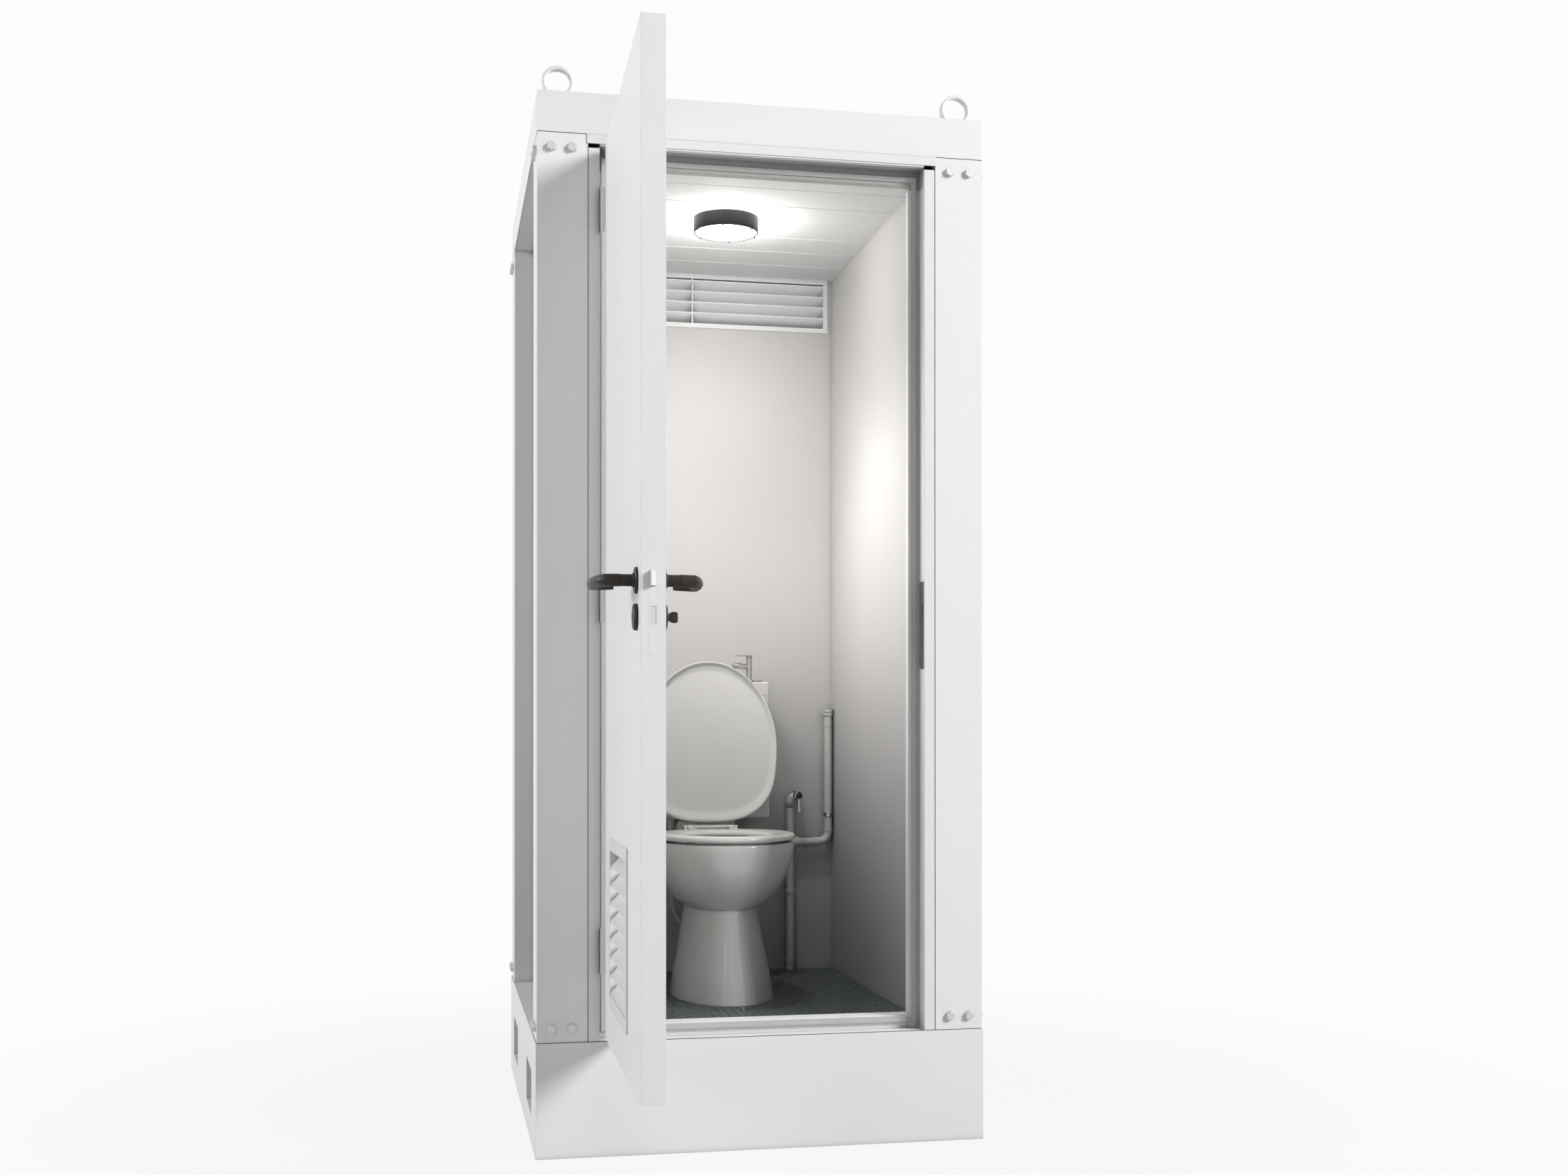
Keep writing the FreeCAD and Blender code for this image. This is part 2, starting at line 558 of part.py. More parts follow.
# levers on one spindle
spindle = fuse(box(SPINDLE_X - 4, SPINDLE_X + 4, LEAF_Y0 - 34, LEAF_Y1 + 34, LEVER_Z - 4, LEVER_Z + 4),
               rod(SPINDLE_X, LOCK_Y - 6, LEVER_Z, (0, 1, 0), 10, 12))
save_door("lever_spindle", spindle)
grip = [(346, -655), (346, -664), (338, -671), (226, -694), (216, -692), (211, -684), (211, -636),
        (218, -633), (226, -636), (228, -672), (236, -678), (326, -659), (326, -655)]
grip_bar = prism_z(grip, LEVER_Z - 11, LEVER_Z + 11)
neck = rod(SPINDLE_X, LEAF_Y0 - 58, LEVER_Z, (0, 1, 0), 10, 57.5)
lever = fuse(neck, grip_bar)
lever = lever.cut(box(SPINDLE_X - 4.05, SPINDLE_X + 4.05, LEAF_Y0 - 34.2, LEAF_Y0,
                      LEVER_Z - 4.05, LEVER_Z + 4.05))
save_door("outer_lever", lever)
save_door("inner_lever", lever.mirror(V(0, LOCK_Y, 0), V(0, 1, 0)))


def rosette(z, thick, hole):
    disc = rod(SPINDLE_X, LEAF_Y0 - thick, z, (0, 1, 0), ROSETTE_R, thick)
    rim = [e for e in disc.Edges if isinstance(e.Curve, Part.Circle) and e.BoundBox.YMax < LEAF_Y0 - 1]
    disc = disc.makeFillet(2.5, rim)
    return disc.cut(rod(SPINDLE_X, LEAF_Y0 - thick, z, (0, 1, 0), hole, thick))


lever_rose = rosette(LEVER_Z, 6, 10.5)
turn_rose = rosette(TURN_Z, 9, 9.4)
rosettes = [lever_rose, turn_rose]
rosettes += [r.mirror(V(0, LOCK_Y, 0), V(0, 1, 0)) for r in (lever_rose, turn_rose)]
save_door("door_rosettes", *rosettes)

# privacy turn: knob inside, coin slot disc outside
knob = fuse(rod(SPINDLE_X, LEAF_Y1 + 0.5, TURN_Z, (0, 1, 0), 9, 13.5),
            rounded(box(SPINDLE_X - 3, SPINDLE_X + 3, LEAF_Y1 + 13, LEAF_Y1 + 30, TURN_Z - 15, TURN_Z + 15),
                    2.5, (0, 1, 0)),
            box(SPINDLE_X - 3, SPINDLE_X + 3, LEAF_Y0 - 4, LEAF_Y1 + 1, TURN_Z - 3, TURN_Z + 3),
            rod(SPINDLE_X, LOCK_Y - 6, TURN_Z, (0, 1, 0), 8.5, 12))
save_door("thumb_turn", knob)
disc = rod(SPINDLE_X, LEAF_Y0 - 10, TURN_Z, (0, 1, 0), 9, 9)
disc = cut(disc, box(SPINDLE_X - 1, SPINDLE_X + 1, LEAF_Y0 - 10, LEAF_Y0 - 8, TURN_Z - 6, TURN_Z + 6),
           box(SPINDLE_X - 3.05, SPINDLE_X + 3.05, LEAF_Y0 - 4.1, LEAF_Y0, TURN_Z - 3.05, TURN_Z + 3.05))
save_door("indicator_disc", disc)

# ceiling lamp
LAMP_X = -10.0
LAMP_Y = -90.0
body = Part.makeCone(86.5, 88, 40, V(LAMP_X, LAMP_Y, CEIL_Z - 40), V(0, 0, 1))
body = body.cut(rod(LAMP_X, LAMP_Y, CEIL_Z - 40, (0, 0, 1), 83, 34))
save("lamp_body", body)
lens = rod(LAMP_X, LAMP_Y, CEIL_Z - 39, (0, 0, 1), 83, 20)
save("lamp_lens", lens.cut(rod(LAMP_X, LAMP_Y, CEIL_Z - 36, (0, 0, 1), 80, 17)))


# toilet
def oval(z, hw, yc, front, rear, square=1.0):
    # front half is an ellipse, the rear half may be squarer
    points = []
    count = 24
    for k in range(count):
        a = 2 * math.pi * k / count
        c, s = math.cos(a), math.sin(a)
        if c >= 0:
            points.append(V(hw * s, yc - front * c, z))
        else:
            px = math.copysign(abs(s) ** square, s)
            points.append(V(hw * px, yc + rear * abs(c) ** square, z))
    curve = Part.BSplineCurve()
    curve.interpolate(Points=points, PeriodicFlag=True)
    return Part.Wire([curve.toShape()])


def loft(sections):
    return Part.makeLoft([oval(*s) for s in sections], True, True)


pan = loft([(FLOOR_Z, 142, 45, 247, 170, 0.7),
            (FLOOR_Z + 60, 131, 53, 243, 162, 0.72),
            (460, 111, 68, 233, 144, 0.76),
            (PED_TOP, 97, 80, 228, 130, 0.8),
            (548, 126, 62, 226, 150, 0.8),
            (572, 145, 36, 221, 182, 0.8),
            (598, 160, 15, 219, 211, 0.8),
            (629, 172, -3, 217, 238, 0.77),
            (660, 181, -14, 217, 258, 0.72),
            (691, 187, -20, 219, 266, 0.65),
            (RIM_Z, 187, -20, 219, 266, 0.65)])
shelf = fuse(box(-85, 85, 200, 480, 640, RIM_Z), box(-85, 85, 303, 480, RIM_Z, CIST_Z0))
shelf = rounded(shelf, 12, (0, 0, 1))
bowl = loft([(458, 40, 15, 40, 40),
             (480, 46, 12, 48, 48),
             (540, 74, -8, 80, 92),
             (600, 114, -28, 130, 138),
             (655, 140, -38, 158, 162),
             (690, 146, -40, 162, 168),
             (RIM_Z + 1, 136, -40, 152, 158)])
trap = Part.makeCylinder(30, 120, V(0, 25, 492), V(0, 125, 66))
drop = rod(0, WASTE_Y, FLOOR_Z - 1, (0, 0, 1), 36, 285)
flush_way = fuse(rod(0, FLUSH_Y, 676, (0, 0, 1), 25, 80), rod(0, 100, 676, (0, 1, 0), 16, 330))
pan = cut(fuse(pan, shelf), bowl, trap, drop, flush_way)
save("toilet_pan", pan)

seat_out = Part.Face(oval(SEAT_Z0, 190, -28, 218, 190, 0.8)).extrude(V(0, 0, SEAT_Z1 - SEAT_Z0))
seat_in = Part.Face(oval(SEAT_Z0, 118, -42, 132, 140)).extrude(V(0, 0, SEAT_Z1 - SEAT_Z0))
pads = [box(x - 12, x + 12, y - 9, y + 9, RIM_Z, SEAT_Z0) for x, y in ((-150, 40), (150, 40), (-115, -150),
                                                                     (115, -150))]
axis = (0, SEAT_AXIS_Y, SEAT_AXIS_Z)
EYE = 8.0
HINGE_ROD = 5.0


def x_rod(x0, x1, r):
    return rod(x0, SEAT_AXIS_Y, SEAT_AXIS_Z, (1, 0, 0), r, x1 - x0)


seat_lugs = []
for x0, x1 in ((50, 68), (-68, -50)):
    seat_lugs.append(fuse(box(x0, x1, 140, SEAT_AXIS_Y, 723, SEAT_Z1), x_rod(x0, x1, EYE)))
seat = fuse(seat_out.cut(seat_in), *(seat_lugs + pads))
seat = seat.cut(x_rod(-90, 90, HINGE_ROD + 0.08))
save("seat_ring", seat)

lid_z = SEAT_AXIS_Z
lid_out = Part.Face(oval(lid_z, 199, 4, 252, 214, 0.72)).extrude(V(0, 0, 15))
lid_in = Part.Face(oval(lid_z, 192, 4, 245, 205, 0.72)).extrude(V(0, 0, 10))
lid = lid_out.cut(lid_in)
for s in (-1, 1):
    lid = lid.cut(box(min(s * 46, s * 90), max(s * 46, s * 90), 204, 240, lid_z - 1, lid_z + 16))
lid_lugs = []
for x0, x1 in ((25, 44), (-44, -25)):
    lid_lugs.append(fuse(box(x0, x1, 196, SEAT_AXIS_Y - 3, lid_z + 1, lid_z + 8), x_rod(x0, x1, EYE)))
lid = fuse(lid, *lid_lugs)
lid = lid.cut(x_rod(-90, 90, HINGE_ROD + 0.08))
lid.rotate(V(*axis), V(1, 0, 0), -LID_ANGLE)
save("seat_lid", lid)
hinge_feet = []
for x0, x1 in ((70, 80), (-80, -70)):
    hinge_feet.append(fuse(box(x0, x1, SEAT_AXIS_Y - 9, SEAT_AXIS_Y + 9, RIM_Z, SEAT_AXIS_Z),
                           x_rod(x0, x1, 9)))
save("seat_hinge", fuse(x_rod(-80, 80, HINGE_ROD), *hinge_feet))

# cistern with the hand basin as its cover
tank = rounded(box(-CIST_X, CIST_X, CIST_Y0, CIST_Y1, CIST_Z0, CIST_Z1), 25, (0, 0, 1))
room = rounded(box(-CIST_X + 6, CIST_X - 6, CIST_Y0 + 6, CIST_Y1 - 6, CIST_Z0 + 6, CIST_Z1), 20, (0, 0, 1))
tank = cut(tank, room, rod(0, FLUSH_Y, CIST_Z0, (0, 0, 1), 25, 10),
           rod(FILL_X, FILL_Y, CIST_Z0, (0, 0, 1), 9.2, 10))
save("cistern_tank", tank)
cover = rounded(box(-CIST_X, CIST_X, CIST_Y0, CIST_Y1, CIST_Z1, BASIN_Z), 25, (0, 0, 1))
dish_out = rounded(box(-155, 118, 318, 462, DISH_Z - 4, CIST_Z1), 30, (0, 0, 1))
dish_in = rounded(box(-151, 114, 322, 458, DISH_Z, BASIN_Z), 26, (0, 0, 1))
cover = cut(fuse(cover, dish_out), dish_in, rod(-20, 400, DISH_Z - 10, (0, 0, 1), 12, 20),
            rod(TAP_X, TAP_Y, CIST_Z1, (0, 0, 1), 6, 10),
            rod(153, 340, CIST_Z1, (0, 0, 1), 19.5, 10))
save("basin_top", cover)

# tap
tap = fuse(rod(TAP_X, TAP_Y, BASIN_Z, (0, 0, 1), 14, 4),
           rod(TAP_X, TAP_Y, BASIN_Z, (0, 0, 1), 8.5, 75),
           rod(TAP_X, TAP_Y, CIST_Z1 - 25, (0, 0, 1), 5.5, 40),
           Part.makeCone(7, 5, 50, V(TAP_X, TAP_Y, SPOUT_Z), V(-50, 0, 6)),
           rod(98, TAP_Y, SPOUT_Z - 4, (0, 0, 1), 4.5, 10))
save("tap_body", tap)
handle = fuse(rod(TAP_X, TAP_Y, BASIN_Z + 75.3, (0, 0, 1), 8.5, 8.2),
              rounded(box(TAP_X - 36, TAP_X, TAP_Y - 6, TAP_Y + 6, BASIN_Z + 79.5, BASIN_Z + 83.5), 3, (0, 0, 1)))
save("tap_lever", handle)

# cistern inside
button = fuse(rod(153, 340, 1151, (0, 0, 1), 19, 11), rod(153, 340, 1112, (0, 0, 1), 4, 42))
save("flush_button", button)
bezel = fuse(ring(153, 340, CIST_Z1 - 49, (0, 0, 1), 9, 4.5, 30),
             ring(153, 340, CIST_Z1 - 19, (0, 0, 1), 24, 4.5, 3),
             ring(153, 340, CIST_Z1 - 16, (0, 0, 1), 24, 21, 16))
tower = fuse(rod(0, FLUSH_Y, CIST_Z0 + 6, (0, 0, 1), 32, 20), rod(0, FLUSH_Y, CIST_Z0 + 6, (0, 0, 1), 18, 235),
             ring(0, FLUSH_Y, CIST_Z0, (0, 0, 1), 24.5, 20, 20))
STEM_Z = CIST_Z1 - 48.0
cable_path = Part.BSplineCurve()
cable_path.interpolate([V(153, 340, STEM_Z), V(152, 348, STEM_Z - 41), V(100, 395, 1030), V(20, 420, 1030),
                        V(0, 420, 992)])
cable_wire = Part.Wire([cable_path.toShape()])
cable_start = Part.Wire([Part.Circle(V(153, 340, STEM_Z), cable_path.tangent(0)[0], 2.5).toShape()])
cable = cable_wire.makePipeShell([cable_start], True, True)
save("flush_valve", bezel, fuse(tower, cable))
fill = fuse(rod(FILL_X, FILL_Y, CIST_Z0 + 6, (0, 0, 1), 15, 8),
            rod(FILL_X, FILL_Y, CIST_Z0 + 6, (0, 0, 1), 11, 180),
            rod(FILL_X, FILL_Y, 725, (0, 0, 1), 9, 40),
            rod(FILL_X, FILL_Y, CIST_Z0 - 12, (0, 0, 1), 15, 12),
            rod(FILL_X, FILL_Y, 941, (0, 0, 1), 14, 26),
            box(FILL_X + 10, FILL_X + 24, FILL_Y - 9, FILL_Y - 4, 944, 964),
            box(FILL_X + 10, FILL_X + 24, FILL_Y + 4, FILL_Y + 9, 944, 964))
FLOAT_X = FILL_X + 19
FLOAT_Z = 957.0
fill = fill.cut(rod(FLOAT_X, FILL_Y - 10, FLOAT_Z, (0, 1, 0), 2.05, 20))
save("fill_valve", fill)
arm = fuse(rod(FLOAT_X, FILL_Y - 3.5, FLOAT_Z, (0, 1, 0), 3.4, 7),
           rod(FLOAT_X, FILL_Y - 9, FLOAT_Z, (0, 1, 0), 2, 18),
           rod(FLOAT_X, FILL_Y, FLOAT_Z, (1, 0, 0), 2, 150),
           Part.makeSphere(28, V(FLOAT_X + 160, FILL_Y, FLOAT_Z)))
save("float_arm", arm)

# flexible hose from the fill valve down and round to the wall
hose_path = Part.BSplineCurve()
hose_path.interpolate([V(FILL_X, FILL_Y, 724.4), V(FILL_X, FILL_Y + 3, 660), V(-96, 372, 560),
                       V(-88, 388, 490), V(-66, 404, 447), V(-38, 424, 446), V(-12, 450, 480),
                       V(0, 475, 510), V(2, 498, 510)])
hose_wire = Part.Wire([hose_path.toShape()])
hose_start = Part.Wire([Part.Circle(V(FILL_X, FILL_Y, 725), hose_path.tangent(0)[0], 5).toShape()])
save("supply_hose", hose_wire.makePipeShell([hose_start], True, True))

# waste and water pipes
save("waste_pipe", ring(0, WASTE_Y, 12, (0, 0, 1), 55, 51.8, FLOOR_Z - 12))


def elbow(x, z, bend, r):
    # quarter bend in the XZ plane from +X travel at z to +Z travel at x
    torus = Part.makeTorus(bend, r, V(x - bend, PIPE_Y, z + bend), V(0, 1, 0))
    return torus.common(box(x - bend, x + r + 1, PIPE_Y - r - 1, PIPE_Y + r + 1, z - r - 1, z + bend))


BEND = 30.0
pipes = fuse(rod(SUPPLY_X, PIPE_Y, 15, (0, 0, 1), PIPE_R, 781),
             rod(SUPPLY_X, PIPE_Y, RUN_Z, (1, 0, 0), PIPE_R, RISER_X - BEND - SUPPLY_X),
             elbow(RISER_X, RUN_Z, BEND, PIPE_R),
             rod(RISER_X, PIPE_Y, RUN_Z + BEND, (0, 0, 1), PIPE_R, 357),
             rod(RISER_X, PIPE_Y, 1061, (0, 0, 1), 16, 8), rod(RISER_X, PIPE_Y, 1069, (0, 0, 1), 14, 2),
             rod(RISER_X, PIPE_Y, 1071, (0, 0, 1), 16, 8), rod(RISER_X, PIPE_Y, 1027, (0, 0, 1), 14.5, 3),
             rod(RISER_X, PIPE_Y, 1070, (0, 1, 0), 8, 25),
             rod(SUPPLY_X, PIPE_Y, RUN_Z - 20, (0, 0, 1), 15.5, 40),
             rod(SUPPLY_X, PIPE_Y, RUN_Z, (1, 0, 0), 15.5, 26),
             rod(SUPPLY_X, PIPE_Y, 521, (0, 0, 1), 16, 10),
             rod(SUPPLY_X, PIPE_Y, 312, (0, 0, 1), 16, 10),
             rod(RISER_X - BEND - 14, PIPE_Y, RUN_Z, (1, 0, 0), 14.5, 12),
             rod(RISER_X, PIPE_Y, RUN_Z + BEND + 2, (0, 0, 1), 14.5, 12))
pipes = pipes.cut(rod(SUPPLY_X, PIPE_Y, 15, (0, 0, 1), 9.5, 60))
save("water_pipes", pipes)

CLIP_Z = 758.0
clip = ring(RISER_X, PIPE_Y, CLIP_Z - 6, (0, 0, 1), 15, PIPE_R + 0.05, 12)
save("pipe_clip", fuse(clip, box(RISER_X - 5, RISER_X + 5, PIPE_Y + 13.8, REAR_IN, CLIP_Z - 5, CLIP_Z + 5)))

VALVE_X = 303.0
VALVE_Z = 816.0
valve = fuse(rod(SUPPLY_X, PIPE_Y, 796, (0, 0, 1), 14.5, 16),
             Part.makeSphere(15, V(SUPPLY_X + 2, PIPE_Y, 812)),
             rod(SUPPLY_X, PIPE_Y, VALVE_Z - 1, (1, 0, 0), 11, VALVE_X - SUPPLY_X),
             rod(VALVE_X, 452, VALVE_Z, (0, 1, 0), 13, 48),
             rod(VALVE_X, 446, VALVE_Z, (0, 1, 0), 9, 6),
             rod(VALVE_X, 428, VALVE_Z, (0, 1, 0), 4, 19))
save("stop_valve", valve)
grip = fuse(rod(VALVE_X, 430, VALVE_Z, (0, 1, 0), 9, 12),
            box(VALVE_X - 4.5, VALVE_X + 4.5, 431, 435, VALVE_Z - 48, VALVE_Z))
grip = grip.cut(rod(VALVE_X, 420, VALVE_Z, (0, 1, 0), 4.05, 30))
save("stop_valve_lever", grip)

# light switch beside the door, on the left wall
SW_Y = -455.0
SW_Z = 1400.0
plate = rounded(box(-WALL_IN, -WALL_IN + 12, SW_Y - 40, SW_Y + 40, SW_Z - 40, SW_Z + 40), 6, (1, 0, 0))
plate = plate.cut(box(-WALL_IN + 2, -WALL_IN + 12, SW_Y - 22, SW_Y + 22, SW_Z - 30, SW_Z + 30))
rock_x = -WALL_IN + 8
plate = plate.cut(rod(rock_x, SW_Y - 26, SW_Z, (0, 1, 0), 2.05, 52))
save("light_switch", plate)
rocker = fuse(box(rock_x - 1.5, rock_x + 6, SW_Y - 21.5, SW_Y + 21.5, SW_Z - 28.5, SW_Z + 28.5),
              rod(rock_x, SW_Y - 25, SW_Z, (0, 1, 0), 2, 50))
rocker.rotate(V(rock_x, SW_Y, SW_Z), V(0, 1, 0), -6)
save("switch_rocker", rocker)
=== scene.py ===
import json
import math

import bmesh
import bpy
from mathutils import Matrix, Vector


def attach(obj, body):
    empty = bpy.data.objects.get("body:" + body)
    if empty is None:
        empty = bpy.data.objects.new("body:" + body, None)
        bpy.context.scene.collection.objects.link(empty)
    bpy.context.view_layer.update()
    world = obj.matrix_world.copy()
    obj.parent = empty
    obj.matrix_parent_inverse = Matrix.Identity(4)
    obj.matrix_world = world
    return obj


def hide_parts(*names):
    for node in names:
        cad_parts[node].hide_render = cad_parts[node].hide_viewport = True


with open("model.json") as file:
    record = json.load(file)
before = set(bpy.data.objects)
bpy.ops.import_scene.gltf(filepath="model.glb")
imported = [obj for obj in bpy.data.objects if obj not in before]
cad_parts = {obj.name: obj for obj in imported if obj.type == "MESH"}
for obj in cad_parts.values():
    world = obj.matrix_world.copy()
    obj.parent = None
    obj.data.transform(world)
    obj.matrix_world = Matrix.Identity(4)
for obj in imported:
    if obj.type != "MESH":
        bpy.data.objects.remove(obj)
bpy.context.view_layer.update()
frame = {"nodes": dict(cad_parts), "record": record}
bpy.context.scene.view_settings.view_transform = "Standard"

# driving dimensions of the drawn pieces, in millimetres
MM = 0.001
FLOOR_Z = 285.0
CEILING_Z = 2400.0
BASE_TOP = 273.0
POST_TOP = 2432.0
ROOF_Z = 2530.0
POST_X = 548.5
FACE_Y = -598.5
FRAME_EDGE = 428.0
SEAM = 0.8
SEAM_PROUD = 0.4
LIP_END = 460.0

RIM_Z = 714.0
PED_TOP = 536.0
RIM_LIFT = 8.0
SEAT_AXIS_Y = 232.0
SEAT_AXIS_Z = 736.0
HINGE_R = 5.2
EYE_R = 5.8
EYE_IN = 50.0
EYE_W = 18.0
HINGE_CLEAR = 0.5

TANK_X = 188.0
TANK_FRONT = 300.0
TANK_REAR = 490.0
TANK_Z0 = 755.0
TANK_Z1 = 1118.0
BASIN_Z = 1157.0
TAP_X = 145.0
TAP_Y = 410.0
VALVE_X = 303.0
VALVE_Z = 816.0
PIPE_X = 284.0
PIPE_Y = 475.0

SPINDLE_X = 336.0
LEVER_Z = 1307.0
TURN_Z = LEVER_Z - 72
LEAF_FRONT = -606.0
LEAF_BACK = -556.0
LEVER_R = 12.6
LEVER_TAPER = 3.2
TAPER_FROM = 34
ROSE_R = 26.5

LAMP_X = -10.0
LAMP_Y = -90.0
RING_R = 84.5
CLIP_Z = 2361.0
LIFT_X = 496.5
LIFT_Y = 540.0
LIFT_Z = 2570.0

# turns, in metres, that bring pieces drawn shut to their place at rest
PIN = Vector((-0.3985, -0.615, 0.0))
OPEN = math.radians(-90.8)
TO_REST = Matrix.Translation(PIN) @ Matrix.Rotation(OPEN, 4, "Z") @ Matrix.Translation(-PIN)
LID_AXIS = Vector((0, SEAT_AXIS_Y, SEAT_AXIS_Z)) * MM
LID_BACK = math.radians(-94)
LID_TURN = Matrix.Translation(LID_AXIS) @ Matrix.Rotation(LID_BACK, 4, "X") @ Matrix.Translation(-LID_AXIS)

# places where one material changes tone or where painted shade begins, in metres
WALL_OUT_X = 0.456
WALL_OUT_Y = 0.536
HEAD_SHADE_FROM_Y = -0.585
HEAD_SHADE_FROM_Z = 2.36
BARREL_SHADE_EDGE = -0.4005

# camera, at the photograph's viewing angle
CAM_AT = (-0.8074, -4.8018, 1.008)
CAM_YAW = 11.49
CAM_PITCH = 0.21
CAM_LENS = 40.55
CAM_SHIFT_Y = 0.0885

cam_data = bpy.data.cameras.new("camera")
cam_data.lens = CAM_LENS
cam_data.sensor_width = 36.0
cam_data.sensor_fit = "HORIZONTAL"
cam_data.shift_y = CAM_SHIFT_Y
camera = bpy.data.objects.new("camera", cam_data)
camera.location = CAM_AT
camera.rotation_euler = (math.radians(90 + CAM_PITCH), 0, math.radians(-CAM_YAW))
bpy.context.scene.collection.objects.link(camera)
bpy.context.scene.camera = camera


# materials
def new_material(name):
    mat = bpy.data.materials.new(name)
    mat.use_nodes = True
    mat.node_tree.nodes.clear()
    return mat, mat.node_tree


def node(tree, kind, **values):
    n = tree.nodes.new(kind)
    for key, value in values.items():
        if key in n.inputs:
            n.inputs[key].default_value = value
        else:
            setattr(n, key, value)
    return n


def rgba(sockets, name):
    return [s for s in sockets if s.name == name and s.type == "RGBA"][0]


def outside(tree, position):
    # one on the weather side of the wall panels
    split = node(tree, "ShaderNodeSeparateXYZ")
    tree.links.new(position, split.inputs[0])
    side = node(tree, "ShaderNodeMath", operation="ABSOLUTE")
    tree.links.new(split.outputs["X"], side.inputs[0])
    far = node(tree, "ShaderNodeMath", operation="GREATER_THAN")
    tree.links.new(side.outputs[0], far.inputs[0])
    far.inputs[1].default_value = WALL_OUT_X
    rear = node(tree, "ShaderNodeMath", operation="GREATER_THAN")
    tree.links.new(split.outputs["Y"], rear.inputs[0])
    rear.inputs[1].default_value = WALL_OUT_Y
    both = node(tree, "ShaderNodeMath", operation="MAXIMUM")
    tree.links.new(far.outputs[0], both.inputs[0])
    tree.links.new(rear.outputs[0], both.inputs[1])
    return both.outputs[0]


def head_shade_mask(tree, position):
    # one on the underside of the frame head, behind its front face; the darker tone there is painted shade
    split = node(tree, "ShaderNodeSeparateXYZ")
    tree.links.new(position, split.inputs[0])
    behind = node(tree, "ShaderNodeMath", operation="GREATER_THAN")
    tree.links.new(split.outputs["Y"], behind.inputs[0])
    behind.inputs[1].default_value = HEAD_SHADE_FROM_Y
    above = node(tree, "ShaderNodeMath", operation="GREATER_THAN")
    tree.links.new(split.outputs["Z"], above.inputs[0])
    above.inputs[1].default_value = HEAD_SHADE_FROM_Z
    both = node(tree, "ShaderNodeMath", operation="MULTIPLY")
    tree.links.new(behind.outputs[0], both.inputs[0])
    tree.links.new(above.outputs[0], both.inputs[1])
    return both.outputs[0]


def barrel_shade_mask(tree, position):
    # one on the side of the hinge barrels that is turned away from the leaf; the dark tone there is painted
    # shade of the hinge gap
    split = node(tree, "ShaderNodeSeparateXYZ")
    tree.links.new(position, split.inputs[0])
    side = node(tree, "ShaderNodeMath", operation="LESS_THAN")
    tree.links.new(split.outputs["X"], side.inputs[0])
    side.inputs[1].default_value = BARREL_SHADE_EDGE
    return side.outputs[0]


def painted_crease_shade(tree, shown, depth, reach):
    # painted shade that darkens seams and inner corners, found by ambient occlusion
    hollow = node(tree, "ShaderNodeAmbientOcclusion", Distance=reach)
    hollow.samples = 4
    dark = node(tree, "ShaderNodeMapRange")
    dark.inputs["From Min"].default_value = 0.2
    dark.inputs["From Max"].default_value = 0.8
    dark.inputs["To Min"].default_value = 1.0 - depth
    tree.links.new(hollow.outputs["AO"], dark.inputs["Value"])
    crease_shade_mix = node(tree, "ShaderNodeMix", data_type="RGBA", blend_type="MULTIPLY")
    crease_shade_mix.inputs["Factor"].default_value = 1.0
    tree.links.new(shown, rgba(crease_shade_mix.inputs, "A"))
    tree.links.new(dark.outputs["Result"], rgba(crease_shade_mix.inputs, "B"))
    return rgba(crease_shade_mix.outputs, "Result")


def painted_low_shade(tree, shown, position, share):
    # painted shade that darkens the walls towards the floor and fades out towards the height of the seat lid
    split = node(tree, "ShaderNodeSeparateXYZ")
    tree.links.new(position, split.inputs[0])
    rise = node(tree, "ShaderNodeMapRange", interpolation_type="SMOOTHSTEP")
    rise.inputs["From Min"].default_value = 0.35
    rise.inputs["From Max"].default_value = 1.35
    rise.inputs["To Min"].default_value = share
    tree.links.new(split.outputs["Z"], rise.inputs["Value"])
    low_shade_mix = node(tree, "ShaderNodeMix", data_type="RGBA", blend_type="MULTIPLY")
    low_shade_mix.inputs["Factor"].default_value = 1.0
    tree.links.new(shown, rgba(low_shade_mix.inputs, "A"))
    tree.links.new(rise.outputs["Result"], rgba(low_shade_mix.inputs, "B"))
    return rgba(low_shade_mix.outputs, "Result")


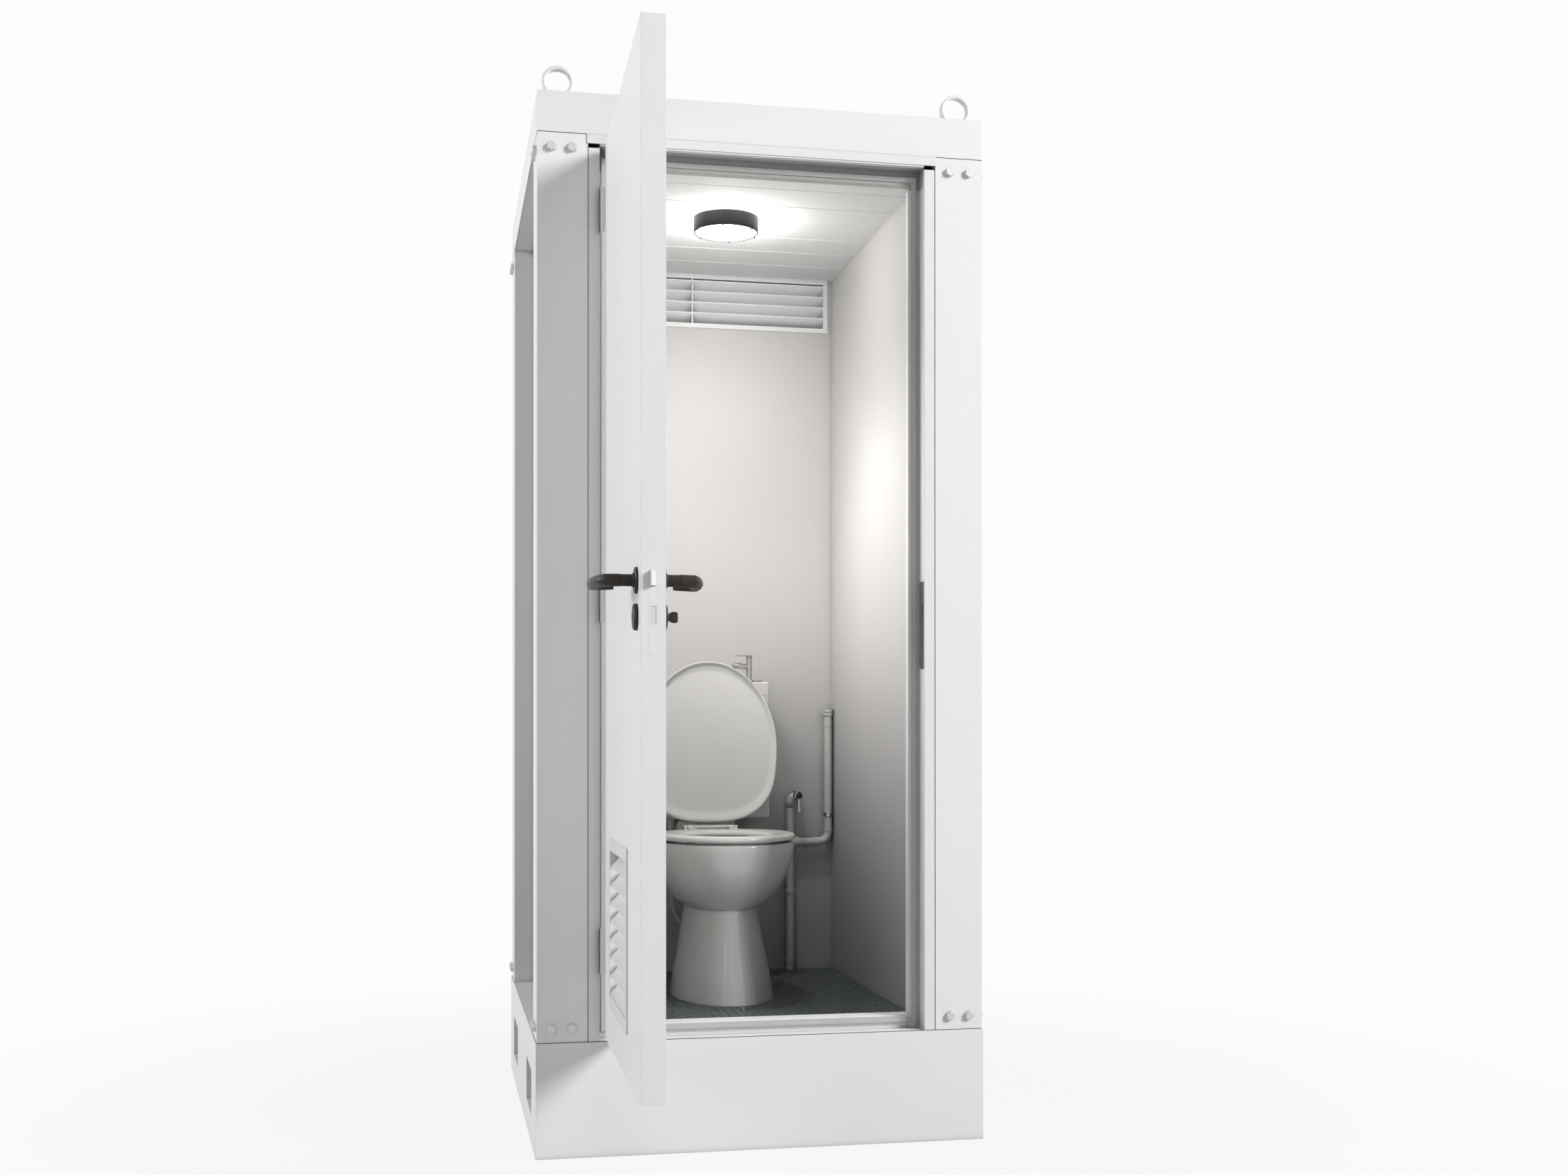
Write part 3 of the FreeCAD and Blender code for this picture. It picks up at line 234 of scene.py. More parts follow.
def surface(name, color, rough=0.45, metal=0.0, mottle=0.02, scale=3.0, grain=0.0, grain_scale=400.0,
            coat=0.0, bevel=0.0, rough_spread=0.06, emit=None, emit_strength=0.0, stretch=(1, 1, 1),
            outer=None, where=None, specular=0.5, crease=0.0, crease_reach=0.02, foot=None):
    # one principled surface with slight uneven tone, a fine grain and softened edges
    mat, tree = new_material(name)
    out = node(tree, "ShaderNodeOutputMaterial")
    bsdf = node(tree, "ShaderNodeBsdfPrincipled", Roughness=rough, Metallic=metal)
    bsdf.inputs["Coat Weight"].default_value = coat
    bsdf.inputs["Specular IOR Level"].default_value = specular
    if emit:
        bsdf.inputs["Emission Color"].default_value = (*emit, 1)
        bsdf.inputs["Emission Strength"].default_value = emit_strength
    coords = node(tree, "ShaderNodeTexCoord")
    mapping = node(tree, "ShaderNodeMapping")
    mapping.inputs["Scale"].default_value = stretch
    tree.links.new(coords.outputs["Object"], mapping.inputs["Vector"])
    cloud = node(tree, "ShaderNodeTexNoise", Scale=scale, Detail=5.0)
    tree.links.new(mapping.outputs["Vector"], cloud.inputs["Vector"])
    ramp = node(tree, "ShaderNodeMapRange")
    ramp.inputs["To Min"].default_value = 1.0 - mottle
    ramp.inputs["To Max"].default_value = 1.0 + mottle * 0.4
    tree.links.new(cloud.outputs["Fac"], ramp.inputs["Value"])
    tint = node(tree, "ShaderNodeMix", data_type="RGBA", blend_type="MULTIPLY")
    tint.inputs["Factor"].default_value = 1.0
    base = rgba(tint.inputs, "A")
    base.default_value = (*color, 1)
    # second tone picked by a mask: the wall panels' own outer paint, and painted shade under the frame head
    # and on one side of the hinge barrels
    if outer:
        shade = node(tree, "ShaderNodeMix", data_type="RGBA")
        rgba(shade.inputs, "A").default_value = (*color, 1)
        rgba(shade.inputs, "B").default_value = (*outer, 1)
        tree.links.new((where or outside)(tree, coords.outputs["Object"]), shade.inputs["Factor"])
        tree.links.new(rgba(shade.outputs, "Result"), base)
    tree.links.new(ramp.outputs["Result"], rgba(tint.inputs, "B"))
    shown = rgba(tint.outputs, "Result")
    # painted shade that darkens the lower walls
    if foot:
        shown = painted_low_shade(tree, shown, coords.outputs["Object"], foot)
    # painted shade in seams and inner corners
    if crease > 0:
        shown = painted_crease_shade(tree, shown, crease, crease_reach)
    tree.links.new(shown, bsdf.inputs["Base Color"])
    spread = node(tree, "ShaderNodeMapRange")
    spread.inputs["To Min"].default_value = max(rough - rough_spread, 0.02)
    spread.inputs["To Max"].default_value = min(rough + rough_spread, 1.0)
    tree.links.new(cloud.outputs["Fac"], spread.inputs["Value"])
    tree.links.new(spread.outputs["Result"], bsdf.inputs["Roughness"])
    normal = None
    if bevel > 0:
        soft = node(tree, "ShaderNodeBevel", Radius=bevel)
        soft.samples = 4
        normal = soft.outputs["Normal"]
    if grain > 0:
        fine = node(tree, "ShaderNodeTexNoise", Scale=grain_scale, Detail=2.0)
        tree.links.new(mapping.outputs["Vector"], fine.inputs["Vector"])
        bump = node(tree, "ShaderNodeBump", Strength=grain, Distance=0.0006)
        tree.links.new(fine.outputs["Fac"], bump.inputs["Height"])
        if normal:
            tree.links.new(normal, bump.inputs["Normal"])
        normal = bump.outputs["Normal"]
    if normal:
        tree.links.new(normal, bsdf.inputs["Normal"])
    tree.links.new(bsdf.outputs["BSDF"], out.inputs["Surface"])
    return mat


# materials given crease darken their seams and inner corners with painted shade
M = {
    "cabin_paint": surface("cabin_paint", (0.83, 0.83, 0.83), 0.42, bevel=0.0015, grain=0.08, crease=0.45),
    # wall panels: the darkening towards the floor and in creases is painted shade; the outer tone is the
    # panels' own outside paint
    "wall_panel": surface("wall_panel", (0.54, 0.533, 0.526), 0.40, grain=0.04, mottle=0.012, foot=0.68,
                          crease=0.35, crease_reach=0.03,
                          outer=(0.40, 0.395, 0.385)),
    "ceiling_panel": surface("ceiling_panel", (0.76, 0.76, 0.755), 0.5, grain=0.05, mottle=0.015),
    # frame paint: the darker tone under the frame head is painted shade
    "frame_paint": surface("frame_paint", (0.80, 0.80, 0.80), 0.38, bevel=0.0015, grain=0.06, crease=0.6,
                           crease_reach=0.06, outer=(0.46, 0.448, 0.435), where=head_shade_mask),
    "door_paint": surface("door_paint", (0.86, 0.86, 0.86), 0.40, bevel=0.0012, grain=0.05, mottle=0.012),
    # hinge paint: light paint, with a dark tone on one side of the barrels as painted shade of the hinge gap
    "hinge_paint_and_gap_shade": surface("hinge_paint_and_gap_shade", (0.80, 0.80, 0.80), 0.40, grain=0.05, outer=(0.04, 0.038, 0.035),
                           where=barrel_shade_mask),
    "galvanised": surface("galvanised", (0.62, 0.62, 0.60), 0.38, metal=0.55, mottle=0.12, scale=60,
                          bevel=0.0008),
    "floor_tread": surface("floor_tread", (0.072, 0.088, 0.083), 0.42, mottle=0.25, scale=9, grain=0.3,
                           grain_scale=250),
    "plywood": surface("plywood", (0.46, 0.33, 0.20), 0.7, mottle=0.2, scale=14, stretch=(1, 8, 1)),
    "black_plastic": surface("black_plastic", (0.034, 0.029, 0.025), 0.42, mottle=0.1, scale=20, bevel=0.0008,
                             grain=0.1, specular=0.2),
    "seam": surface("seam", (0.09, 0.088, 0.085), 0.8, mottle=0.1, scale=60, specular=0.2),
    "steel": surface("steel", (0.50, 0.50, 0.49), 0.3, metal=1.0, mottle=0.08, scale=50, bevel=0.0005),
    "porcelain": surface("porcelain", (0.66, 0.650, 0.635), 0.14, mottle=0.01, coat=0.4, rough_spread=0.03,
                         crease=0.4),
    "white_plastic": surface("white_plastic", (0.70, 0.693, 0.68), 0.22, mottle=0.01, coat=0.2, bevel=0.001,
                             crease=0.35, crease_reach=0.012),
    "lens": surface("lens", (0.95, 0.95, 0.93), 0.3, emit=(1.0, 0.99, 0.97), emit_strength=6.0),
    "lamp_grey": surface("lamp_grey", (0.018, 0.017, 0.016), 0.35, mottle=0.05, bevel=0.001),
    "rubber_seal": surface("rubber_seal", (0.50, 0.50, 0.49), 0.6, mottle=0.05, scale=30),
    "pipe_grey": surface("pipe_grey", (0.52, 0.513, 0.50), 0.3, mottle=0.03, scale=12, crease=0.45),
    "chrome": surface("chrome", (0.46, 0.455, 0.45), 0.2, metal=1.0, mottle=0.04, crease=0.5),
    "vent_white": surface("vent_white", (0.78, 0.78, 0.78), 0.35, mottle=0.015, bevel=0.0006, crease=0.5,
                          crease_reach=0.025),
    "hose_grey": surface("hose_grey", (0.62, 0.62, 0.60), 0.35, mottle=0.05, scale=40),
}

SLOT_OF = {p["node"]: p["material_slot"] for p in frame["record"]["subparts"]}
LOOK_OF = dict(SLOT_OF)
for name in SLOT_OF:
    if "hinge" in name and "seat" not in name:
        LOOK_OF[name] = "hinge_paint_and_gap_shade"
    elif name in ("latch_bolt", "dead_bolt"):
        LOOK_OF[name] = "vent_white"
    elif "sill" in name:
        LOOK_OF[name] = "door_paint"
for name, obj in frame["nodes"].items():
    mat = M[LOOK_OF[name]]
    if not obj.material_slots:
        obj.data.materials.append(mat)
    for s in obj.material_slots:
        s.material = mat


# light and floor
def area_light(name, at, aim, size, watts):
    data = bpy.data.lights.new(name, "AREA")
    data.shape = "RECTANGLE"
    data.size, data.size_y = size
    data.energy = watts
    lamp = bpy.data.objects.new(name, data)
    lamp.location = at
    lamp.rotation_euler = (Vector(aim) - Vector(at)).to_track_quat("-Z", "Y").to_euler()
    bpy.context.scene.collection.objects.link(lamp)
    return lamp


area_light("key_light", (8.0, -7.3, 6.4), (0.0, -0.6, 1.3), (3.6, 3.6), 1350)
area_light("left_light", (-6.5, 0.6, 3.4), (-0.5, -0.3, 1.3), (3.0, 3.0), 260)
area_light("left_front_light", (-4.5, -5.0, 3.0), (0.0, -0.6, 1.3), (2.5, 2.5), 66)
area_light("back_light", (3.0, 6.5, 3.8), (0.0, 0.6, 1.3), (3.0, 3.0), 240)


WARM = (1.0, 0.986, 0.972)


def round_light(name, at, watts, radius, aim=None, cone=60):
    # a small round lamp, or a soft-edged cone where it is given something to aim at
    data = bpy.data.lights.new(name, "SPOT" if aim else "POINT")
    data.energy = watts
    data.color = WARM
    data.shadow_soft_size = radius
    lamp = bpy.data.objects.new(name, data)
    lamp.visible_camera = False
    lamp.visible_glossy = False
    lamp.location = at
    if aim:
        data.spot_size = math.radians(cone)
        data.spot_blend = 1.0
        lamp.rotation_euler = (Vector(aim) - Vector(at)).to_track_quat("-Z", "Y").to_euler()
    bpy.context.scene.collection.objects.link(lamp)
    return lamp


round_light("ceiling_glow", (-0.010, -0.090, 2.325), 5.3, 0.05)
round_light("rear_wash", (-0.30, -0.40, 2.05), 30, 0.15, aim=(0.08, 0.53, 1.60), cone=86)
round_light("right_wash", (-0.42, -0.16, 1.80), 55, 0.18, aim=(0.50, -0.16, 1.47), cone=104)
round_light("down_light", (-0.010, -0.090, 2.29), 24, 0.06, aim=(-0.01, -0.05, 1.0), cone=100)

world = bpy.data.worlds.new("world")
bpy.context.scene.world = world
world.use_nodes = True
wt = world.node_tree
wt.nodes.clear()
w_out = node(wt, "ShaderNodeOutputWorld")
w_mix = node(wt, "ShaderNodeMixShader")
w_light = node(wt, "ShaderNodeBackground")
w_light.inputs["Color"].default_value = (1.0, 0.99, 0.98, 1)
w_light.inputs["Strength"].default_value = 0.03
w_white = node(wt, "ShaderNodeBackground")
w_white.inputs["Color"].default_value = (0.98, 0.98, 0.98, 1)
w_white.inputs["Strength"].default_value = 1.0


def seen_rays(tree):
    # one where the ray comes from the camera or through gloss or glass
    path = node(tree, "ShaderNodeLightPath")
    first = node(tree, "ShaderNodeMath", operation="MAXIMUM")
    tree.links.new(path.outputs["Is Camera Ray"], first.inputs[0])
    tree.links.new(path.outputs["Is Glossy Ray"], first.inputs[1])
    second = node(tree, "ShaderNodeMath", operation="MAXIMUM")
    tree.links.new(first.outputs[0], second.inputs[0])
    tree.links.new(path.outputs["Is Transmission Ray"], second.inputs[1])
    return second.outputs[0]


wt.links.new(seen_rays(wt), w_mix.inputs[0])
wt.links.new(w_light.outputs[0], w_mix.inputs[1])
wt.links.new(w_white.outputs[0], w_mix.inputs[2])
wt.links.new(w_mix.outputs[0], w_out.inputs["Surface"])

bpy.ops.mesh.primitive_plane_add(size=60, location=(0, 0, 0))
floor = bpy.context.object
floor.name = "studio_floor"
floor_mat, ft = new_material("studio_floor")
f_out = node(ft, "ShaderNodeOutputMaterial")
f_mix = node(ft, "ShaderNodeMixShader")
f_diffuse = node(ft, "ShaderNodeBsdfDiffuse")
f_diffuse.inputs["Color"].default_value = (0.5, 0.5, 0.5, 1)
f_white = node(ft, "ShaderNodeEmission")
f_white.inputs["Color"].default_value = (0.98, 0.98, 0.98, 1)
f_share = node(ft, "ShaderNodeMath", operation="MULTIPLY")
f_coords = node(ft, "ShaderNodeTexCoord")
f_far = node(ft, "ShaderNodeVectorMath", operation="LENGTH")
ft.links.new(f_coords.outputs["Object"], f_far.inputs[0])
f_fade = node(ft, "ShaderNodeMapRange", interpolation_type="SMOOTHSTEP")
f_fade.inputs["From Min"].default_value = 0.6
f_fade.inputs["From Max"].default_value = 3.0
f_fade.inputs["To Min"].default_value = 0.9
f_fade.inputs["To Max"].default_value = 1.0
ft.links.new(f_far.outputs["Value"], f_fade.inputs["Value"])
ft.links.new(f_fade.outputs["Result"], f_share.inputs[1])
ft.links.new(seen_rays(ft), f_share.inputs[0])
ft.links.new(f_share.outputs[0], f_mix.inputs[0])
ft.links.new(f_diffuse.outputs[0], f_mix.inputs[1])
ft.links.new(f_white.outputs[0], f_mix.inputs[2])
ft.links.new(f_mix.outputs[0], f_out.inputs["Surface"])
floor.data.materials.append(floor_mat)

# building blocks
BEVEL_FROM = 35


def piece(name, verts, faces, mat, body, smooth=True, bevel=0.0, segments=3, levels=0, turn=None):
    # verts in millimetres; turn is applied last, and modifiers are kept live
    mesh = bpy.data.meshes.new(name)
    mesh.from_pydata([Vector(v) * MM for v in verts], [], faces)
    bm = bmesh.new()
    bm.from_mesh(mesh)
    bmesh.ops.remove_doubles(bm, verts=bm.verts, dist=1e-6)
    bmesh.ops.recalc_face_normals(bm, faces=bm.faces)
    bm.to_mesh(mesh)
    bm.free()
    if turn is not None:
        mesh.transform(turn)
    obj = bpy.data.objects.new(name, mesh)
    bpy.context.scene.collection.objects.link(obj)
    mesh.materials.append(M[mat])
    if bevel:
        mod = obj.modifiers.new("bevel", "BEVEL")
        mod.width = bevel * MM
        mod.segments = segments
        mod.limit_method = "ANGLE"
        mod.angle_limit = math.radians(BEVEL_FROM)
    if levels:
        sub = obj.modifiers.new("subdivision", "SUBSURF")
        sub.levels = levels
        sub.render_levels = levels
    if smooth:
        for p in mesh.polygons:
            p.use_smooth = True
    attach(obj, body)
    return obj


def grid_faces(rows, cols):
    faces = []
    for r in range(rows - 1):
        for c in range(cols):
            d = (c + 1) % cols
            faces.append((r * cols + c, r * cols + d, (r + 1) * cols + d, (r + 1) * cols + c))
    return faces


def rings_piece(name, rings, mat, body, cap_first=False, cap_last=False, loop=False, **more):
    cols = len(rings[0])
    verts = [v for ring in rings for v in ring]
    faces = grid_faces(len(rings), cols)
    if loop:
        last = (len(rings) - 1) * cols
        for c in range(cols):
            d = (c + 1) % cols
            faces.append((last + c, last + d, d, c))
    if cap_first:
        faces.append(tuple(range(cols)))
    if cap_last:
        faces.append(tuple(range((len(rings) - 1) * cols, len(rings) * cols)))
    return piece(name, verts, faces, mat, body, **more)


def lathe(name, profile, centre, axis, mat, body, count=48, cap=True, **more):
    # profile is a list of (radius, distance along axis)
    axis = Vector(axis).normalized()
    side = axis.orthogonal().normalized()
    other = axis.cross(side)
    rings = []
    for r, d in profile:
        rings.append([Vector(centre) + axis * d + side * (r * math.cos(2 * math.pi * k / count))
                      + other * (r * math.sin(2 * math.pi * k / count)) for k in range(count)])
    return rings_piece(name, rings, mat, body, cap_first=cap, cap_last=cap, **more)


def slab(name, lo, hi, mat, body, **more):
    x0, y0, z0 = lo
    x1, y1, z1 = hi
    verts = [(x0, y0, z0), (x1, y0, z0), (x1, y1, z0), (x0, y1, z0),
             (x0, y0, z1), (x1, y0, z1), (x1, y1, z1), (x0, y1, z1)]
    faces = [(0, 1, 2, 3), (4, 5, 6, 7), (0, 1, 5, 4), (1, 2, 6, 5), (2, 3, 7, 6), (3, 0, 4, 7)]
    return piece(name, verts, faces, mat, body, **more)


def prism(name, outline, start, end, mat, body, axis, **more):
    # outline is (y, z) for a prism along X, (x, z) for one along Y
    verts = []
    for c in (start, end):
        for a, b in outline:
            verts.append((c, a, b) if axis == "X" else (a, c, b))
    n = len(outline)
    faces = [tuple(range(n)), tuple(range(n, 2 * n))]
    faces += [(k, (k + 1) % n, n + (k + 1) % n, n + k) for k in range(n)]
    return piece(name, verts, faces, mat, body, **more)


def smooth_path(points, per=10):
    # Catmull-Rom through the points
    pts = [Vector(p) for p in points]
    pts = [pts[0] * 2 - pts[1]] + pts + [pts[-1] * 2 - pts[-2]]
    path = []
    for k in range(1, len(pts) - 2):
        p0, p1, p2, p3 = pts[k - 1:k + 3]
        for j in range(per):
            t = j / per
            path.append(0.5 * (2 * p1 + (p2 - p0) * t + (2 * p0 - 5 * p1 + 4 * p2 - p3) * t * t
                               + (3 * p1 - p0 - 3 * p2 + p3) * t ** 3))
    path.append(pts[-2])
    return path


def pipe(name, path, radius, mat, body, count=24, cap=True, **more):
    # radius is a number or a list with one value per point
    path = [Vector(p) for p in path]
    if not isinstance(radius, (list, tuple)):
        radius = [radius] * len(path)
    rings = []
    side = None
    for k, p in enumerate(path):
        ahead = path[min(k + 1, len(path) - 1)] - path[max(k - 1, 0)]
        ahead.normalize()
        if side is None:
            side = ahead.orthogonal().normalized()
        side = (side - ahead * side.dot(ahead)).normalized()
        other = ahead.cross(side)
        rings.append([p + side * (radius[k] * math.cos(2 * math.pi * j / count))
                      + other * (radius[k] * math.sin(2 * math.pi * j / count)) for j in range(count)])
    return rings_piece(name, rings, mat, body, cap_first=cap, cap_last=cap, **more)


def arc(centre, radius, start, stop, steps):
    # points on an upright circle that faces along Y
    x, y, z = centre
    out = []
    for k in range(steps + 1):
        a = math.radians(start + (stop - start) * k / steps)
        out.append((x + radius * math.cos(a), y, z + radius * math.sin(a)))
    return out


# toilet pan: same sections as the solid, with a rounded rim and a soft crease over the pedestal
AROUND = 96
RIM_STEPS = 8


def oval(hw, yc, front, rear, square, z, count=AROUND):
    ring = []
    for k in range(count):
        a = 2 * math.pi * k / count
        c, s = math.cos(a), math.sin(a)
        power = 1.0 if c >= 0 else 1.0 + (square - 1.0) * min(1.0, -c * 3)
        x = math.copysign(abs(s) ** power, s) * hw
        y = yc - front * c if c >= 0 else yc + rear * abs(c) ** power
        ring.append(Vector((x, y, z)))
    return ring


def between(sections, steps):
    # sections are (z, hw, yc, front, rear, square); smooth curve through them
    rows = smooth_rows(sections, steps)
    return [oval(r[1], r[2], r[3], r[4], r[5], r[0]) for r in rows]


def smooth_rows(rows, per):
    rows = [list(r) for r in rows]
    ext = [[2 * a - b for a, b in zip(rows[0], rows[1])]] + rows
    ext.append([2 * a - b for a, b in zip(rows[-1], rows[-2])])
    out = []
    for k in range(1, len(ext) - 2):
        for j in range(per):
            t = j / per
            out.append([0.5 * (2 * b + (c - a) * t + (2 * a - 5 * b + 4 * c - d) * t * t
                               + (3 * b - a - 3 * c + d) * t ** 3)
                        for a, b, c, d in zip(*ext[k - 1:k + 3])])
    out.append(rows[-1])
    return out


pedestal = [(FLOOR_Z, 141, 45, 246, 170, 0.7), (FLOOR_Z + 4, 140, 46, 245, 169, 0.7),
            (345, 131, 53, 243, 162, 0.72), (400, 120, 61, 238, 153, 0.74), (460, 109, 68, 233, 144, 0.76),
            (PED_TOP, 96, 80, 228, 130, 0.8)]
cup = [(PED_TOP - 3, 98, 80, 229, 131, 0.8), (548, 126, 62, 226, 150, 0.8), (572, 146, 36, 221, 182, 0.8),
       (598, 160, 15, 219, 211, 0.8), (629, 172, -3, 217, 238, 0.77), (660, 181, -14, 217, 258, 0.72),
       (691, 187, -20, 219, 265, 0.68), (706, 187, -20, 220, 266, 0.68)]
hollow = [(706, 142, -40, 158, 164, 1.0), (690, 146, -40, 162, 168, 1.0), (655, 140, -38, 158, 162, 1.0),
          (600, 114, -28, 130, 138, 1.0), (540, 74, -8, 80, 92, 1.0), (490, 48, 10, 50, 52, 1.0),
          (462, 36, 16, 38, 38, 1.0)]
outer_rings = between(cup, 6)
inner_rings = between(hollow, 6)
rim_rings = []
for k in range(1, RIM_STEPS):
    a = math.pi * k / RIM_STEPS
    share = (1 - math.cos(a)) / 2
    lift = Vector((0, 0, RIM_LIFT * math.sin(a) ** 0.6))
    rim_rings.append([p.lerp(q, share) + lift for p, q in zip(outer_rings[-1], inner_rings[0])])
pan = rings_piece("pan_bowl", outer_rings + rim_rings + inner_rings, "porcelain", "cabin",
                  cap_first=True, cap_last=True)
rings_piece("pan_pedestal", between(pedestal, 5), "porcelain", "cabin", cap_first=True, cap_last=True)
slab("pan_shelf", (-85, 200, 640), (85, 480, RIM_Z - 1), "porcelain", "cabin", bevel=14, segments=5)
slab("pan_rest", (-85, 303, 700), (85, 480, TANK_Z0), "porcelain", "cabin", bevel=10, segments=4)
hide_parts("toilet_pan")

# seat
seat_outer = (190, -28, 218, 190, 0.8)
seat_inner = (118, -42, 132, 140, 1.0)
seat_profile = [(0.10, 717.2), (0.02, 719), (0.0, 723), (0.01, 729), (0.06, 733.5), (0.16, 735.2),
                (0.40, 735.0), (0.70, 733.5), (0.88, 730.5), (0.97, 726), (1.0, 721), (0.97, 718),
                (0.88, 717.2)]
rings = []
for s, z in seat_profile:
    ring = []
    for p, q in zip(oval(*seat_outer, z), oval(*seat_inner, z)):
        ring.append(p.lerp(q, s))
    rings.append(ring)
seat = rings_piece("seat", rings, "white_plastic", "seat", loop=True, levels=1)
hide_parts("seat_ring")
for s in (-1, 1):
    lug = [(140, 724), (205, 724), (227, 730), (227, 737), (206, 735), (140, 735)]
    tag = "left" if s < 0 else "right"
    x0, x1 = sorted((s * EYE_IN, s * (EYE_IN + EYE_W)))
    prism("seat_lug_" + tag, lug, x0, x1, "white_plastic", "seat", axis="X", bevel=2)
    lathe("seat_eye_" + tag, [(EYE_R, 0), (EYE_R, EYE_W)], (x0, SEAT_AXIS_Y, SEAT_AXIS_Z), (1, 0, 0),
          "white_plastic", "seat", bevel=1)
for x, y in ((-150, 40), (150, 40), (-115, -150), (115, -150)):
    slab("seat_buffer_%d_%d" % (x, y), (x - 12, y - 9, RIM_Z + 0.5), (x + 12, y + 9, RIM_Z + 5),
         "rubber_seal", "seat", bevel=2)

# lid, shaped closed and then leant back
lid_oval = (199, 4, 252, 214, 0.72)
lid_centre = Vector((0, -120, 0))
lid_profile = [(0.02, 746.2), (0.55, 746.1), (0.895, 745.6), (0.910, 745.0), (0.924, 743.6), (0.960, 738.6),
               (0.972, 736.9), (0.984, 736.2), (0.994, 736.9), (1.0, 739.5), (1.0, 743), (0.992, 747.5),
               (0.97, 749.8), (0.90, 750.8), (0.55, 751.0), (0.02, 751.0)]
rings = []
for s, z in lid_profile:
    level = Vector((0, 0, z))
    rings.append([lid_centre + (p - lid_centre) * s + level for p in oval(*lid_oval, 0)])
lid = rings_piece("lid", rings, "white_plastic", "lid", cap_first=True, cap_last=True, levels=1,
                  turn=LID_TURN)
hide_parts("seat_lid")

# hinge bar of the seat
BAR_END = EYE_IN - HINGE_CLEAR
STUB_AT = EYE_IN + EYE_W + HINGE_CLEAR
STUB_L = 9.5
FOOT_X = 73.0
bar = lathe("seat_hinge_bar", [(HINGE_R, 0), (HINGE_R, 2 * BAR_END)], (-BAR_END, SEAT_AXIS_Y, SEAT_AXIS_Z),
            (1, 0, 0), "white_plastic", "cabin", bevel=0.6)
for s in (-1, 1):
    tag = "left" if s < 0 else "right"
    lathe("seat_hinge_end_" + tag, [(HINGE_R, 0), (HINGE_R, STUB_L)], (s * STUB_AT, SEAT_AXIS_Y, SEAT_AXIS_Z),
          (s, 0, 0), "white_plastic", "cabin", bevel=0.6)
    slab("seat_hinge_foot_" + tag, (s * FOOT_X - 5, SEAT_AXIS_Y - 9, RIM_Z - 2),
         (s * FOOT_X + 5, SEAT_AXIS_Y + 9, SEAT_AXIS_Z - 1), "white_plastic", "cabin", bevel=4)
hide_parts("seat_hinge")


# door hardware, drawn with the door closed
def door_piece(make, name, *args, **more):
    return make(name, *args, turn=TO_REST, **more)


grip_line = smooth_path([(SPINDLE_X, -640, 0), (335, -655, 0), (329, -667, 0), (314, -675, 0), (280, -682, 0),
                         (245, -685, 0), (228, -683, 0), (220, -674, 0), (218, -655, 0), (218, -642, 0)], 6)
NECK_R = 12.0
NECK_L = 66.0
collar = [(14.6, 0), (14.6, 2), (13.0, 4.5), (12.1, 5)]
rose_profile = [(ROSE_R, 0), (ROSE_R, 3.2), (25.6, 5.0), (23.5, 6.2), (14, 6.6), (10.6, 6.6)]
turn_profile = [(ROSE_R, 0), (ROSE_R, 4.5), (25.4, 7.0), (22.5, 8.6), (16, 9.4), (9.6, 9.6)]
last = len(grip_line) - 1
girth = [LEVER_R - LEVER_TAPER * max(0.0, (k - TAPER_FROM) / (last - TAPER_FROM)) for k in range(last + 1)]
for side, out, face in (("outer", -1, LEAF_FRONT), ("inner", 1, LEAF_BACK)):
    line = [(x, y if out < 0 else LEAF_FRONT + LEAF_BACK - y, LEVER_Z + z) for x, y, z in grip_line]
    lever = door_piece(pipe, side + "_grip", line, girth, "black_plastic", "handle_set", count=20)
    door_piece(lathe, side + "_neck", [(NECK_R, 0), (NECK_R, NECK_L)], (SPINDLE_X, face + out * 0.5, LEVER_Z),
               (0, out, 0), "black_plastic", "handle_set", bevel=0.8)
    door_piece(lathe, side + "_collar", collar, (SPINDLE_X, face + out * 6, LEVER_Z), (0, out, 0),
               "black_plastic", "handle_set")
    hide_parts(side + "_lever")
    rose = door_piece(lathe, side + "_rose", rose_profile, (SPINDLE_X, face, LEVER_Z), (0, out, 0),
                      "black_plastic", "door", count=64)
    door_piece(lathe, side + "_turn_rose", turn_profile, (SPINDLE_X, face, TURN_Z), (0, out, 0),
               "black_plastic", "door", count=64)
    if side == "outer":
        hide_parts("door_rosettes")

# privacy knob inside
knob = door_piece(lathe, "turn_base", [(9, 0), (9, 9.2), (8.2, 11), (6.5, 12.5)],
                  (SPINDLE_X, LEAF_BACK + 0.5, TURN_Z), (0, 1, 0), "black_plastic", "privacy_turn")
flag = [(-545, -3), (-541, -9), (-537, -10.8), (-529, -11), (-526, -9.5), (-525.5, 0), (-526, 9.5),
        (-529, 11), (-537, 10.8), (-541, 9), (-545, 3)]
door_piece(prism, "turn_grip", [(a, TURN_Z + b) for a, b in flag], SPINDLE_X - 3.4, SPINDLE_X + 3.4,
           "black_plastic", "privacy_turn", axis="X", bevel=1.6)
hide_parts("thumb_turn")

# floor: raised tread pattern of short crossed bars
tread_verts, tread_faces = [], []
BAR_L = 11.5
BAR_W = 2.6
BAR_H = 1.5
STEP = 21.0
FLOOR_X = -410.0
FLOOR_Y = -484.0
PAN_AT = 7.0
PAN_X = 151.0
PAN_Y = 217.0
PIPE_CLEAR = 22.0


